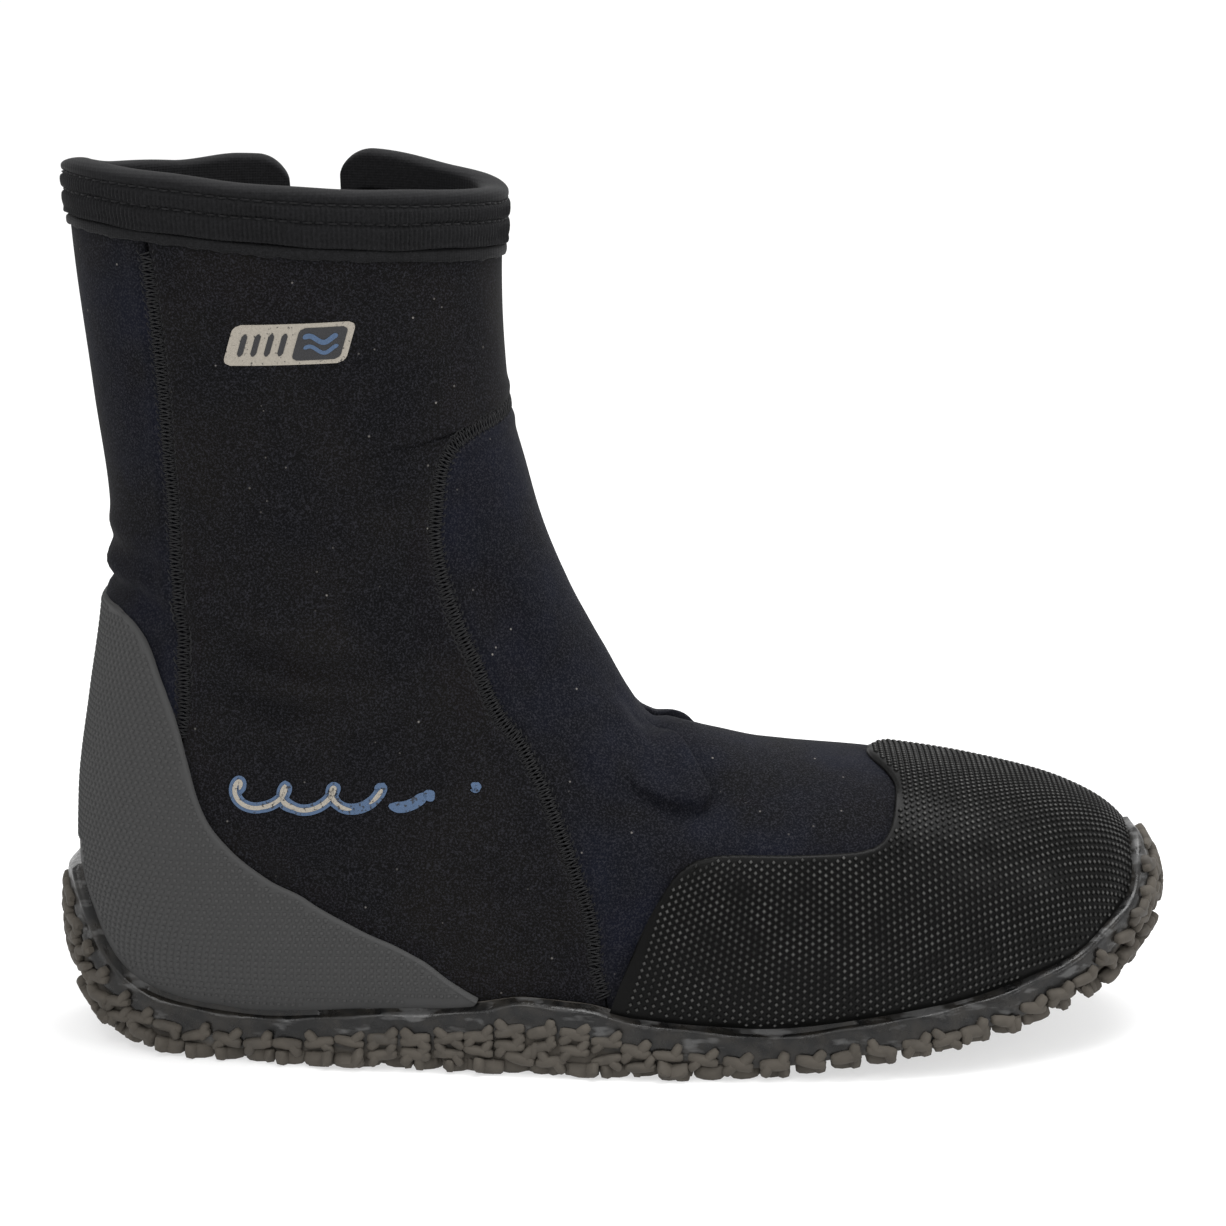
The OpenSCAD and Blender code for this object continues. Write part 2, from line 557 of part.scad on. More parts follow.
module zip_bottom_stop() color("#17171a")
    on_zip(zip_length - stop_h)
        translate([-chain_w / 2, chain_y - tooth_t / 2, -stop_h / 2])
            cube([chain_w, tooth_t, stop_h]);

PULL_ROOM = 1;
SLIDER_ROOM = 0.6;
slider_half = min(chain_w / 2 + ZIP_PLAY + slider_wall, zip_gap / 2 - SLIDER_ROOM);
slider_in = tooth_t / 2 + 2 * ZIP_PLAY;
slider_rest = first_tooth + slider_h / 2;
// At the bottom of its travel the slider's pull still hangs inside the open gap.
slider_travel = min(last_tooth - slider_h / 2 - tooth_pitch, zip_length - pull_length - PULL_ROOM)
    - slider_rest;
EYE_SHARE = 1.6;
pin_y = chain_y + slider_in + slider_wall + pin_d * 1.4;
LUG_HALF = 1.2;
LUG_GAP = 0.3;
PIN_PLAY = 0.25;
FORK_T = 1.5;
TAB_T = 1.6;
module slider_plate()
    polygon([[-slider_half + 1, -slider_h / 2], [slider_half - 1, -slider_h / 2],
        [slider_half, 0], [slider_half, slider_h / 2 - 2], [slider_half - 2, slider_h / 2],
        [-slider_half + 2, slider_h / 2], [-slider_half, slider_h / 2 - 2], [-slider_half, 0]]);
// Draws in the plane of the zip and extrudes outwards from depth y.
module from_depth(y, t) translate([0, y + t, 0]) rotate([90, 0, 0]) linear_extrude(t) children();
// The post and the flanges reach this far into the plates that they stand on.
ROOT = 0.5;
POST_LENGTH = 3.5;
POST_TOP = 1.5;
FLANGE_SHARE = 0.7;
FLANGE_END = 3;
module zip_slider() color("#2a2a2d") on_zip(slider_rest) {
    front = chain_y + slider_in;
    back = chain_y - slider_in;
    eye_r = pin_d * EYE_SHARE;
    flange_w = slider_wall * FLANGE_SHARE;
    difference() {
        union() {
            from_depth(front, slider_wall) slider_plate();
            from_depth(back - slider_wall, slider_wall) slider_plate();
            translate([-POST_HALF, back - ROOT, slider_h / 2 - POST_LENGTH - POST_TOP])
                cube([2 * POST_HALF, 2 * (slider_in + ROOT), POST_LENGTH]);
            for (side = [-1, 1], face = [-1, 1])
                translate([side > 0 ? slider_half - flange_w : -slider_half,
                    face > 0 ? front - FLANGE : back - ROOT, -slider_h / 2 + FLANGE_END])
                    cube([flange_w, FLANGE + ROOT, slider_h - 2 * FLANGE_END]);
            translate([-LUG_HALF, front + slider_wall - ROOT, -eye_r])
                cube([2 * LUG_HALF, pin_y - front - slider_wall + ROOT, 2 * eye_r]);
            translate([-LUG_HALF, pin_y, 0]) rotate([0, 90, 0])
                cylinder(h = 2 * LUG_HALF, r = eye_r, $fn = 48);
        }
        translate([-LUG_HALF - 1, pin_y, 0]) rotate([0, 90, 0])
            cylinder(h = 2 * LUG_HALF + 2, d = pin_d + 2 * PIN_PLAY, $fn = 48);
    }
}
fork_in = LUG_HALF + LUG_GAP;
NECK_SHARE = 2.4;
NECK_LAP = 1;
HOLE_SHARE = 0.5;
module zip_pull() color("#2a2a2d") on_zip(slider_rest) {
    neck = pin_d * NECK_SHARE;
    hole_z = pull_w / 2 - pull_length;
    translate([-fork_in - FORK_T, pin_y, 0]) rotate([0, 90, 0])
        cylinder(h = 2 * (fork_in + FORK_T), d = pin_d, $fn = 48);
    for (side = [-1, 1])
        translate([side > 0 ? fork_in : -fork_in - FORK_T, pin_y, 0]) {
            rotate([0, 90, 0]) cylinder(h = FORK_T, d = 2 * TAB_T, $fn = 48);
            translate([0, -TAB_T / 2, -neck - NECK_LAP])
                cube([FORK_T, TAB_T, neck + NECK_LAP]);
        }
    from_depth(pin_y - TAB_T / 2, TAB_T)
        difference() {
            union() {
                translate([-pull_w / 2, hole_z]) square([pull_w, -hole_z - neck]);
                translate([0, hole_z]) circle(d = pull_w, $fn = 64);
            }
            translate([0, hole_z]) circle(d = pull_w * HOLE_SHARE, $fn = 64);
        }
}

// Lines of stitching beside the zip.
ZIP_STITCH_IN = 3;
module zip_stitching() color("#050506")
    for (side = [-1, 1]) {
        rows = rows_between(ZIP_END[0] - 0.1, drop(COLLAR_ZIP, SEAM_TOP_H));
        dist = zip_gap / 2 + ZIP_STITCH_IN;
        sheet(ribbon([for (s = rows) [s, zip_angle(s, side * dist)]], STITCH_W / 2,
            bond_gap, bond_gap + thread_t));
    }

flap_depth = -chain_y + slider_in + slider_wall + DRIFT + ZIP_PLAY;
FLAP_HALF = 24;
FLAP_COLS = 6;
module zip_flap() color("#111114") {
    rows = rows_between(ZIP_END[0] - 0.2, drop(COLLAR_ZIP, binding_inner_h + 3));
    sheet([for (s = rows) let (a = zip_angle(s, FLAP_HALF), b = zip_angle(s, -FLAP_HALF))
        [for (t = spread(a, b, FLAP_COLS)) pair(s, t, -flap_depth, -flap_depth - flap_t)]]);
}

// ---- Marks ----

BADGE_ROUTE = [for (k = [0:6]) [16.5 - 0.01 * k, mix(75.5, 106.5, k / 6)]];
BADGE_HALF = 5.2;
module shaft_badge() color("#b9ac95")
    sheet(ribbon(BADGE_ROUTE, BADGE_HALF, bond_gap, bond_gap + thread_t));
MOTIF_ROUTE = [
    [11.45, 73], [11.17, 84], [10.89, 92], [10.55, 99.5], [10.2, 106], [9.9, 110.5],
    [9.6, 114.5], [9.35, 117.5], [9.11, 120]
];
MOTIF_HALF = 5;
module side_motif() color("#7e93ab")
    sheet(ribbon(MOTIF_ROUTE, MOTIF_HALF, bond_gap, bond_gap + thread_t));

back_panel();
shaft_panel();
inner_rear_panel();
vamp();
bottom_panel();
footbed();
toe_cap();
heel_cap();
outsole();
tread();
collar_binding();
collar_welt();
binding_stitching();
outer_rear_seam();
inner_rear_seam();
vamp_seam();
zip_tape_front();
zip_tape_rear();
zip_teeth_front();
zip_teeth_rear();
zip_top_stops();
zip_bottom_stop();
zip_stitching();
zip_flap();
zip_slider();
zip_pull();
shaft_badge();
side_motif();
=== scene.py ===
"""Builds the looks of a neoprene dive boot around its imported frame, in metres."""
import math
import random

import bpy
import numpy as np
from bpy.props import FloatProperty, FloatVectorProperty, IntProperty, PointerProperty
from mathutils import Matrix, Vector


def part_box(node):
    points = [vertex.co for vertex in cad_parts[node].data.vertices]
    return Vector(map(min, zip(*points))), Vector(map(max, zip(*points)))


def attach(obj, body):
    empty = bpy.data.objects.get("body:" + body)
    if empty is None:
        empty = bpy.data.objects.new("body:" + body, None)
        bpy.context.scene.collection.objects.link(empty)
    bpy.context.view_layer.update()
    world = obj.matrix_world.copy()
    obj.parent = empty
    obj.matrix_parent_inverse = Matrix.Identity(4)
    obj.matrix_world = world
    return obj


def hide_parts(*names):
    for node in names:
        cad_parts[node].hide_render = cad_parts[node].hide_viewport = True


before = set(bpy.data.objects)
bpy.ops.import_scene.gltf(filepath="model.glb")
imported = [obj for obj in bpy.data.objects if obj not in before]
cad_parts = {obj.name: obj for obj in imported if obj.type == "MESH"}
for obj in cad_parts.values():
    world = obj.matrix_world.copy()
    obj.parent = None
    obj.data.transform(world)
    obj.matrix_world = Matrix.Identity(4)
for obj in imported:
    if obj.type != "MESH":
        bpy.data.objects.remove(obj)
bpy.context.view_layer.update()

bl_info = {
    "name": "Dive Boot Maker",
    "version": (1, 0, 0),
    "blender": (4, 5, 0),
    "location": "View3D > Sidebar > Dive Boot",
    "description": "Makes a neoprene dive boot with caps, a lugged sole, a bound collar and a zip",
    "category": "Add Mesh",
}

MM = 0.001
BODY = "boot"

# ---- The boot's skin, in millimetres ----

# Rows of lowest x, z, highest x, z, outer and inner half width, height share of the
# widest point, roundness below and above it, and sideways shift, from toe to collar.
SECTIONS = np.array([
    [141, 40, 141, 40, 0, 0, 0.45, 2.2, 2.2, 9],
    [137, 28, 135, 54, 20, 18, 0.42, 2.4, 2.3, 9],
    [124, 20, 120, 63, 34, 31, 0.36, 2.8, 2.4, 8],
    [100, 14, 97, 69, 44, 41, 0.31, 3.3, 2.4, 6],
    [72, 10, 70, 74, 49, 46, 0.28, 3.6, 2.4, 3],
    [42, 8, 46, 77, 50, 47, 0.26, 3.6, 2.3, 1],
    [10, 8, 28, 80.5, 47, 44, 0.26, 3.6, 2.2, 0],
    [-30, 8, 17, 86, 42, 41.5, 0.28, 3.5, 2.2, 0],
    [-68, 8, 9, 93, 40, 41, 0.31, 3.4, 2.2, 0],
    [-103, 9, 2, 101, 39, 40.5, 0.35, 3.1, 2.2, 0],
    [-130, 18, -5, 110, 38, 40, 0.39, 2.8, 2.2, 0],
    [-140, 40, -11, 120, 38, 40, 0.42, 2.6, 2.2, 0],
    [-141, 66, -16, 131, 37.5, 40, 0.45, 2.4, 2.2, 0],
    [-137.5, 93, -20, 142, 37, 40, 0.47, 2.3, 2.2, 0],
    [-133.5, 120, -23.5, 155, 36.5, 40, 0.48, 2.2, 2.2, 0],
    [-133, 147, -27, 169, 37, 40, 0.49, 2.2, 2.2, 0],
    [-137, 175, -28.8, 187, 38.5, 40.5, 0.5, 2.2, 2.2, 0],
    [-141, 204, -29.5, 206, 40.5, 41, 0.5, 2.2, 2.2, 0],
    [-144, 233, -29, 225, 42.5, 42, 0.5, 2.2, 2.2, 0],
], float)
TOP = len(SECTIONS) - 1
ANKLE_Z = 110.0
RIM_ROLL = 2.05
COLLAR_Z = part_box("collar_binding")[1].z / MM - RIM_ROLL
SHAFT_K = (COLLAR_Z - ANKLE_Z) / (SECTIONS[TOP, 1] - ANKLE_Z)


def lifted(z):
    """Heights above the ankle, stretched to the shaft's real height."""
    return np.where(z > ANKLE_Z, ANKLE_Z + (z - ANKLE_Z) * SHAFT_K, z)


def make_rings():
    """The sections with one more at each end, mirrored at the tip of the toe."""
    rows = SECTIONS.copy()
    rows[:, 1] = lifted(rows[:, 1])
    rows[:, 3] = lifted(rows[:, 3])
    a = rows[1]
    tip = np.array([a[2], a[3], a[0], a[1], -a[4], -a[5], *a[6:]])
    return np.vstack([tip, rows, 2 * rows[-1] - rows[-2]])


RINGS = make_rings()


def mix(a, b, f):
    return a + (b - a) * f


def unit(v):
    return v / np.maximum(np.linalg.norm(v, axis=-1, keepdims=True), 1e-9)


def distance_along(line):
    """Distance of each point of a line from its start."""
    return np.concatenate([[0], np.cumsum(np.linalg.norm(np.diff(line, axis=0), axis=1))])


def smooth(table):
    """A curve through rows of (x, y) that never swings past them."""
    x, y = np.array(table, float).T
    h = np.diff(x)
    slope = np.diff(y) / h
    rises = slope[:-1] * slope[1:] > 0
    before, after = np.where(rises, slope[:-1], 1), np.where(rises, slope[1:], 1)
    w1, w2 = 2 * h[1:] + h[:-1], h[1:] + 2 * h[:-1]
    inner = np.where(rises, (w1 + w2) / (w1 / before + w2 / after), 0)
    m = np.concatenate([slope[:1], inner, slope[-1:]])

    def value(at):
        at = np.clip(at, x[0], x[-1])
        i = np.clip(np.searchsorted(x, at) - 1, 0, len(h) - 1)
        u = (at - x[i]) / h[i]
        return (y[i] * (2 * u**3 - 3 * u**2 + 1) + h[i] * m[i] * (u**3 - 2 * u**2 + u)
                + y[i + 1] * (3 * u**2 - 2 * u**3) + h[i] * m[i + 1] * (u**3 - u**2))
    return value


def plain_skin(s, t):
    """The skin at section s and t degrees round it, before the rim's own curve."""
    s, t = np.broadcast_arrays(np.asarray(s, float), np.asarray(t, float))
    i = np.clip(np.floor(s).astype(int), 0, TOP - 1)
    u = (s - i)[..., None]
    a, b, c, d = RINGS[i], RINGS[i + 1], RINGS[i + 2], RINGS[i + 3]
    r = 0.5 * (2 * b + (c - a) * u + (2 * a - 5 * b + 4 * c - d) * u**2
               + (3 * b - a - 3 * c + d) * u**3)
    ct, st = np.cos(np.radians(t)), np.sin(np.radians(t))
    n = np.where(ct > 0, r[..., 7], r[..., 8])
    rho = (np.abs(ct)**n + np.abs(st)**n)**(1 / n)
    p = r[..., 6] - np.where(ct > 0, r[..., 6], 1 - r[..., 6]) * ct / rho
    w = np.where(st >= 0, r[..., 4], r[..., 5])
    return np.stack([mix(r[..., 0], r[..., 2], p), r[..., 9] - w * st / rho,
                     mix(r[..., 1], r[..., 3], p)], -1)


# The zip's straight line down the inner side, between two places on the skin.
ZIP_TOP_S, ZIP_TOP_T = 17.5, 263
ZIP_END_S, ZIP_END_T = 9.6, 261.5
zip_top = plain_skin(ZIP_TOP_S, ZIP_TOP_T)
zip_end = plain_skin(ZIP_END_S, ZIP_END_T)
zip_length = np.linalg.norm(zip_top - zip_end)
zip_up = unit(zip_top - zip_end)
zip_out = unit(np.array([0, 1, 0]) - zip_up[1] * zip_up)
zip_fore = np.cross(zip_out, zip_up)
ZIP_GAP = 14.0
CORNER_R = 9.0

# How far the collar's rim rises round the leg, as (degrees, millimetres).
rim_rise = smooth([(-90, 1.4), (-75, 1.2), (-55, -1.4), (-35, -1.3), (0, 1.6), (20, 3.4), (60, 3.8),
                   (90, 3.2), (140, 3.7), (180, 2.5), (200, 3), (222, 3.6), (247, 5.2), (262, 5.2)])
BACK_DRAW = 1.8


def ahead(s, t):
    """How far in front of the zip's line the skin lies."""
    return (plain_skin(s, t) - zip_top) @ zip_fore


def skin(s, t):
    """The skin with its rim curved up round the leg and rounded off beside the zip."""
    p = plain_skin(s, t)
    s, t = np.broadcast_arrays(np.asarray(s, float), np.asarray(t, float))
    share = np.clip((s - 15) / (TOP - 15), 0, 1)**1.5
    round_leg = (t + 95) % 360 - 95
    from_edge = np.abs((p - zip_top) @ zip_fore) - ZIP_GAP / 2
    near = np.clip((CORNER_R - from_edge) / CORNER_R, 0, 0.97)
    inner_side = np.sin(np.radians(t)) < -0.5
    corner = np.where(inner_side, CORNER_R * (1 - np.sqrt(1 - near**2)), 0)
    p[..., 2] += share * (rim_rise(round_leg) - corner)
    p[..., 0] += share * BACK_DRAW * np.clip(np.cos(np.radians(t)), 0, 1)
    return p


def outward(s, t):
    """The skin's outward direction."""
    s = np.clip(s, 0.05, TOP - 0.03)
    return unit(np.cross(skin(s, t + 1.0) - skin(s, t - 1.0), skin(s + 0.02, t) - skin(s - 0.02, t)))


def zip_angle(s, dist):
    """The angle at section s where the skin lies dist in front of the zip's line."""
    s = np.asarray(s, float)
    low, high = np.full(s.shape, 181.0), np.full(s.shape, 341.0)
    for _ in range(18):
        mid = (low + high) / 2
        over = ahead(s, mid) > dist
        low, high = np.where(over, mid, low), np.where(over, high, mid)
    return (low + high) / 2


# ---- Seams and edges as (section, degrees) on the outer side ----

SOLE_SEAM = 38.0
HEEL_CORNER = 9.9
SEAM_FOOT = 6.3
ARCH = 15.12
SEAM_END = 7.94
REAR_SEAM = [(9.9, 38), (10.3, 46), (10.9, 55), (11.6, 59.5), (12.57, 60.5), (13.27, 58),
             (13.85, 54.5), (14.4, 52.3), (15.2, 52.2), (15.94, 54), (16.7, 54.8), (18, 53.5)]
FRONT_SEAM = [(6.25, 38), (6.3, 45), (6.42, 64), (6.7, 95), (7.2, 110), (7.94, 121), (8.78, 128),
              (9.63, 131), (10.85, 131), (11.9, 128.5), (12.85, 126), (13.55, 125), (14.03, 126.5),
              (14.5, 129), (14.9, 135), (15.05, 145), (15.12, 166)]
SOLE_TOP = [(0.86, 160), (0.88, 130), (0.95, 112), (1.07, 100), (1.3, 91), (1.63, 82), (2.07, 70),
            (2.63, 64.5), (3.26, 61), (4.46, 59), (5.06, 56.5), (5.7, 59), (6.24, 61), (6.54, 65),
            (6.78, 67), (7.12, 65), (7.38, 60), (7.94, 55.5), (8.34, 52.5), (8.72, 48), (9.05, 44),
            (9.6, 38), (9.9, 34), (10.3, 30), (10.85, 25), (11.3, 18)]
HEEL_TAB = 11.3
TOE_CAP_BACK = 3.86
TOE_CAP_EDGE = [(3.86, 152), (3.9, 142), (3.96, 135), (4.08, 130), (4.34, 127.8), (4.84, 127),
                (5.66, 125.2), (6.02, 122.5), (6.22, 117.2), (6.32, 109), (6.37, 99), (6.4, 60)]
HEEL_CAP_EDGE = [(7.34, 62), (7.66, 70.2), (8.06, 79.2), (8.56, 84.5), (9.09, 86), (9.63, 85.5),
                 (10.15, 81.2), (10.77, 74.2), (11.15, 70.2), (11.63, 66.2), (11.97, 63.8),
                 (12.37, 60.5), (13.05, 52.2), (13.61, 42.2), (13.91, 28), (14.0, 12)]
rear_curve = smooth(REAR_SEAM)
front_curve = smooth(FRONT_SEAM)
sole_curve = smooth(SOLE_TOP)
toe_cap_curve = smooth(TOE_CAP_EDGE)
heel_cap_curve = smooth(HEEL_CAP_EDGE)


def rear_seam(s):
    """Angle of the outer rear seam, or of the sole's seam below it."""
    return np.where(s < HEEL_CORNER, SOLE_SEAM, rear_curve(s))


def front_seam(s):
    """Angle of the outer front seam, or of the sole's seam before it."""
    return np.where(s < SEAM_FOOT - 0.05, SOLE_SEAM, front_curve(s))


def half_gap(s):
    """Half the gap between the panels at the zip, closed below its end."""
    return np.where(s > ZIP_END_S - 0.12, ZIP_GAP / 2, 0.2)


def before_zip(s):
    """Angle of the panel edge in front of the zip."""
    edge = np.minimum(zip_angle(s, half_gap(s)), 360 - SOLE_SEAM)
    return np.where(s < SEAM_END, 360 - SOLE_SEAM, edge)


def behind_zip(s):
    """Angle of the panel edge behind the zip."""
    return np.minimum(zip_angle(s, -half_gap(s)), 360 - SOLE_SEAM - 2) - 360


def mirrored(route):
    """The same route on the inner side."""
    return [(s, 360 - t) for s, t in route]


def resampled(points, step):
    """Points set evenly along a line of (section, degrees), about step apart."""
    route = np.array(points, float)
    place = skin(route[:, 0], route[:, 1])
    run = distance_along(place)
    at = np.linspace(0, run[-1], max(2, int(run[-1] / step) + 1))
    return np.stack([np.interp(at, run, route[:, 0]), np.interp(at, run, route[:, 1])], -1)


# ---- How the foam lies: wrinkles, the instep fold and the sunk seams ----

REACH = 24.0
INSTEP_CREASE = [(7.6, 139), (7.18, 137.2), (6.78, 137), (6.44, 137.8), (6.16, 139.5), (6.08, 142.2),
                 (6.14, 145.5), (6.44, 151.8), (6.92, 159.8), (7.5, 167.8), (7.75, 174), (7.8, 180)]
# Each wrinkle is a line of (section, degrees), its depth and its half width.
WRINKLES = [
    ([(13.55, 56), (13.17, 70.2), (12.79, 82), (12.43, 93.2), (12.03, 103.8), (11.6, 116)], 2.1, 3.2),
    ([(13.2, 58), (12.85, 69.2), (12.53, 78), (12.1, 89), (11.75, 100), (11.4, 112)], 1.7, 3.0),
    ([(12.75, 63), (12.4, 76), (11.9, 90), (11.4, 101)], 1.1, 3.4),
    ([(14.2, -30), (14.25, 0), (14.01, 37.2), (13.73, 51.2), (13.5, 60)], 1.8, 2.6),
    ([(14.5, -20), (14.55, 15), (14.35, 40), (14.1, 50)], 0.8, 2.8),
    ([(12.9, 135), (11.9, 140), (10.9, 142.5), (9.6, 144)], 0.7, 5.0),
    ([(8.9, 150), (8.3, 148), (7.8, 146), (7.3, 144.5)], 0.7, 4.0),
    ([(13.3, 318), (12.7, 300), (12.3, 285), (12.0, 272)], 1.0, 3.2),
    ([(12.4, 250), (11.9, 238), (11.3, 226)], 0.9, 3.6),
    ([(10.6, 300), (10.3, 285), (10.0, 272)], 0.7, 3.4),
    ([(7.2, 150), (7.6, 157), (8.0, 165)], 0.5, 3.0),
]
CREASE_DEPTH = 3.4
LIP_HEIGHT = 2.5
LIP_REACH = 2.6
# How far the middle of the instep is drawn in, by section.
instep_hollow = smooth([(5.4, 0), (5.96, 0.6), (6.45, 0.1), (7.1, -2.2), (7.45, -5.0), (7.7, -5.2),
                        (8.3, -4.2), (8.9, -3.0), (9.6, -1.5), (10.4, -0.5), (11.4, 0)])


def eased_step(x):
    """A smooth rise from 0 to 1."""
    x = np.clip(x, 0, 1)
    return x * x * (3 - 2 * x)


def faded(index, count, power):
    """A share that rises from 0 at a line's start and falls to 0 at its end."""
    return np.sin(np.pi * np.clip(index / (count - 1), 0, 1))**power


def nearest(points, route):
    """Distance from each point to a route, and the index of the nearest place on it."""
    flat = points.reshape(-1, 3)
    dist = np.full(len(flat), 1e3)
    index = np.zeros(len(flat), int)
    inside = ((flat > route.min(0) - REACH) & (flat < route.max(0) + REACH)).all(1)
    near = np.flatnonzero(inside)
    for part in np.array_split(near, max(1, len(near) // 4000)):
        gap = np.linalg.norm(flat[part, None] - route[None], axis=2)
        index[part], dist[part] = gap.argmin(1), gap.min(1)
    return dist.reshape(points.shape[:-1]), index.reshape(points.shape[:-1])


class Route:
    """An even line over the skin, with its direction and its sideways direction."""

    def __init__(self, points, step=1.0):
        self.st = resampled(points, step)
        self.place = skin(self.st[:, 0], self.st[:, 1])
        self.normal = outward(self.st[:, 0], self.st[:, 1])
        self.along = unit(np.gradient(self.place, axis=0))
        self.side = unit(np.cross(self.along, self.normal))
        self.step = step

    def __len__(self):
        return len(self.place)


def evened(field, reach):
    """A run of directions averaged over reach neighbours on each side."""
    padded = np.concatenate([field[:1].repeat(reach, 0), field, field[-1:].repeat(reach, 0)])
    kernel = np.ones(2 * reach + 1) / (2 * reach + 1)
    return unit(np.stack([np.convolve(padded[:, k], kernel, "valid") for k in range(3)], -1))


crease = Route(mirrored(INSTEP_CREASE) + INSTEP_CREASE[-2::-1], 0.3)
crease_draw = evened(crease.side, 14)
seam_foot_s = 6.45
front_points = [(s, float(front_curve(s))) for s in np.linspace(seam_foot_s, 14.9, 90)]
front_points += [(float(s), float(front_curve(s))) for s in np.linspace(14.93, 15.11, 12)]
arch_points = [(15.14, 168), (15.15, 174), (15.15, 180), (15.15, 186), (15.14, 192)]
front_route = Route(front_points + arch_points + mirrored(front_points)[::-1], 0.5)
rear_points = [(s, float(rear_curve(s))) for s in np.linspace(12.3, 17.42, 60)]
outer_rear_route = Route(rear_points, 0.5)
inner_rear_route = Route(mirrored(rear_points), 0.5)


def relief(p, s, t):
    """How far the cloth stands off the skin, and how far it is drawn along it."""
    height = 0.25 * np.sin(p[..., 0] / 17 + 1) * np.sin(p[..., 2] / 13) * np.sin(p[..., 1] / 15 + 2)
    shift = np.zeros(p.shape)
    for points, depth, width in WRINKLES:
        route = skin(*resampled(points, 1.0).T)
        dist, index = nearest(p, route)
        height += faded(index, len(route), 0.7) * depth * (0.7 * np.exp(-((dist - 2.1 * width) / width)**2)
                                                         - np.exp(-(dist / width)**2))
    for route in (front_route, outer_rear_route, inner_rear_route):
        dist, _ = nearest(p, route.place)
        height += 0.45 * np.exp(-((dist - 4.2) / 1.8)**2) - 0.7 * np.exp(-(dist / 1.5)**2)
    dist, index = nearest(p, crease.place)
    signed = ((p - crease.place[index]) * crease.side[index]).sum(-1)
    signed = np.where(dist < 900, np.sign(signed) * dist, -900)
    u = index / (len(crease) - 1)
    end = np.minimum(u, 1 - u)
    strength = np.clip(end / 0.14, 0, 1)**0.8 * eased_step((0.47 - end) / 0.1)
    behind = np.maximum(signed, 0)
    front = -CREASE_DEPTH * np.exp(np.minimum(signed, 0) / 5)
    lip = (LIP_HEIGHT * np.exp(-(behind / 9)**2) - 0.6 * np.exp(-behind / 8)) * np.exp(-(behind / 16)**2)
    step = eased_step(signed / 1.5 + 0.5)
    height += strength * mix(front, lip, step)
    height += instep_hollow(s) * eased_step((36 - np.abs(t - 180)) / 22)
    draw = strength * step * LIP_REACH * np.exp(-behind / 4)
    shift -= crease_draw[index] * draw[..., None]
    return height, shift


# ---- Mesh making ----

class Stock:
    """Points and faces gathered for one mesh, in millimetres."""

    def __init__(self):
        self.points, self.faces, self.marks, self.count = [], [], [], 0

    def add(self, points, faces, mark=0.0):
        points = np.asarray(points, float).reshape(-1, 3)
        self.points.append(points)
        self.faces += [[self.count + int(k) for k in face] for face in faces]
        self.marks.append(np.broadcast_to(np.asarray(mark, float).reshape(-1), (len(points),)))
        self.count += len(points)
        return self

    def piece(self, name, slot, material, stands_for=(), body=BODY, angle=50):
        """Makes the mesh, with its material, its body and the nodes that it stands for."""
        mesh = bpy.data.meshes.new(name)
        mesh.from_pydata((np.vstack(self.points) * MM).tolist(), [], self.faces)
        mesh.update()
        mesh.shade_smooth()
        mesh.set_sharp_from_angle(angle=math.radians(angle))
        marks = mesh.attributes.new("mark", "FLOAT", "POINT")
        marks.data.foreach_set("value", np.concatenate(self.marks).astype(np.float32))
        obj = bpy.data.objects.new(name, mesh)
        bpy.context.scene.collection.objects.link(obj)
        mesh.materials.append(material)
        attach(obj, body)
        if stands_for:
            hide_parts(*stands_for)
        return obj


def shell(outer, inner, keep=None):
    """Points and faces of a closed sheet between two grids, with the cells to keep."""
    rows, cols = outer.shape[:2]
    index = np.arange(rows * cols).reshape(rows, cols)
    a, b, c, d = index[:-1, :-1], index[:-1, 1:], index[1:, :-1], index[1:, 1:]
    keep = np.ones(a.shape, bool) if keep is None else keep
    half = rows * cols
    ring = np.pad(keep, 1)
    left, right = keep & ~ring[1:-1, :-2], keep & ~ring[1:-1, 2:]
    above, below = keep & ~ring[:-2, 1:-1], keep & ~ring[2:, 1:-1]
    quads = [
        np.stack([a, b, d, c], -1)[keep],
        np.stack([a, c, d, b], -1)[keep] + half,
        np.stack([c, c + half, a + half, a], -1)[left],
        np.stack([b, b + half, d + half, d], -1)[right],
        np.stack([a, a + half, b + half, b], -1)[above],
        np.stack([d, d + half, c + half, c], -1)[below],
    ]
    faces = np.vstack(quads)
    points = np.concatenate([outer.reshape(-1, 3), inner.reshape(-1, 3)])
    used = np.unique(faces)
    renumber = np.zeros(len(points), int)
    renumber[used] = np.arange(len(used))
    return points[used], renumber[faces], used


def tube(path, normals, radius, sides=5):
    """Points and faces of a closed round thread along a path."""
    along = unit(np.gradient(path, axis=0))
    side = unit(np.cross(along, normals))
    up = np.cross(side, along)
    turn = np.arange(sides) * 2 * np.pi / sides
    ring = (np.cos(turn)[None, :, None] * side[:, None] + np.sin(turn)[None, :, None] * up[:, None])
    points = path[:, None] + ring * radius
    n = len(path)
    i, j = np.meshgrid(np.arange(n - 1), np.arange(sides), indexing="ij")
    k = (j + 1) % sides
    faces = np.stack([i * sides + j, i * sides + k, (i + 1) * sides + k, (i + 1) * sides + j], -1)
    faces = faces.reshape(-1, 4).tolist()
    faces += [list(range(sides))[::-1], list(range((n - 1) * sides, n * sides))]
    return points.reshape(-1, 3), faces


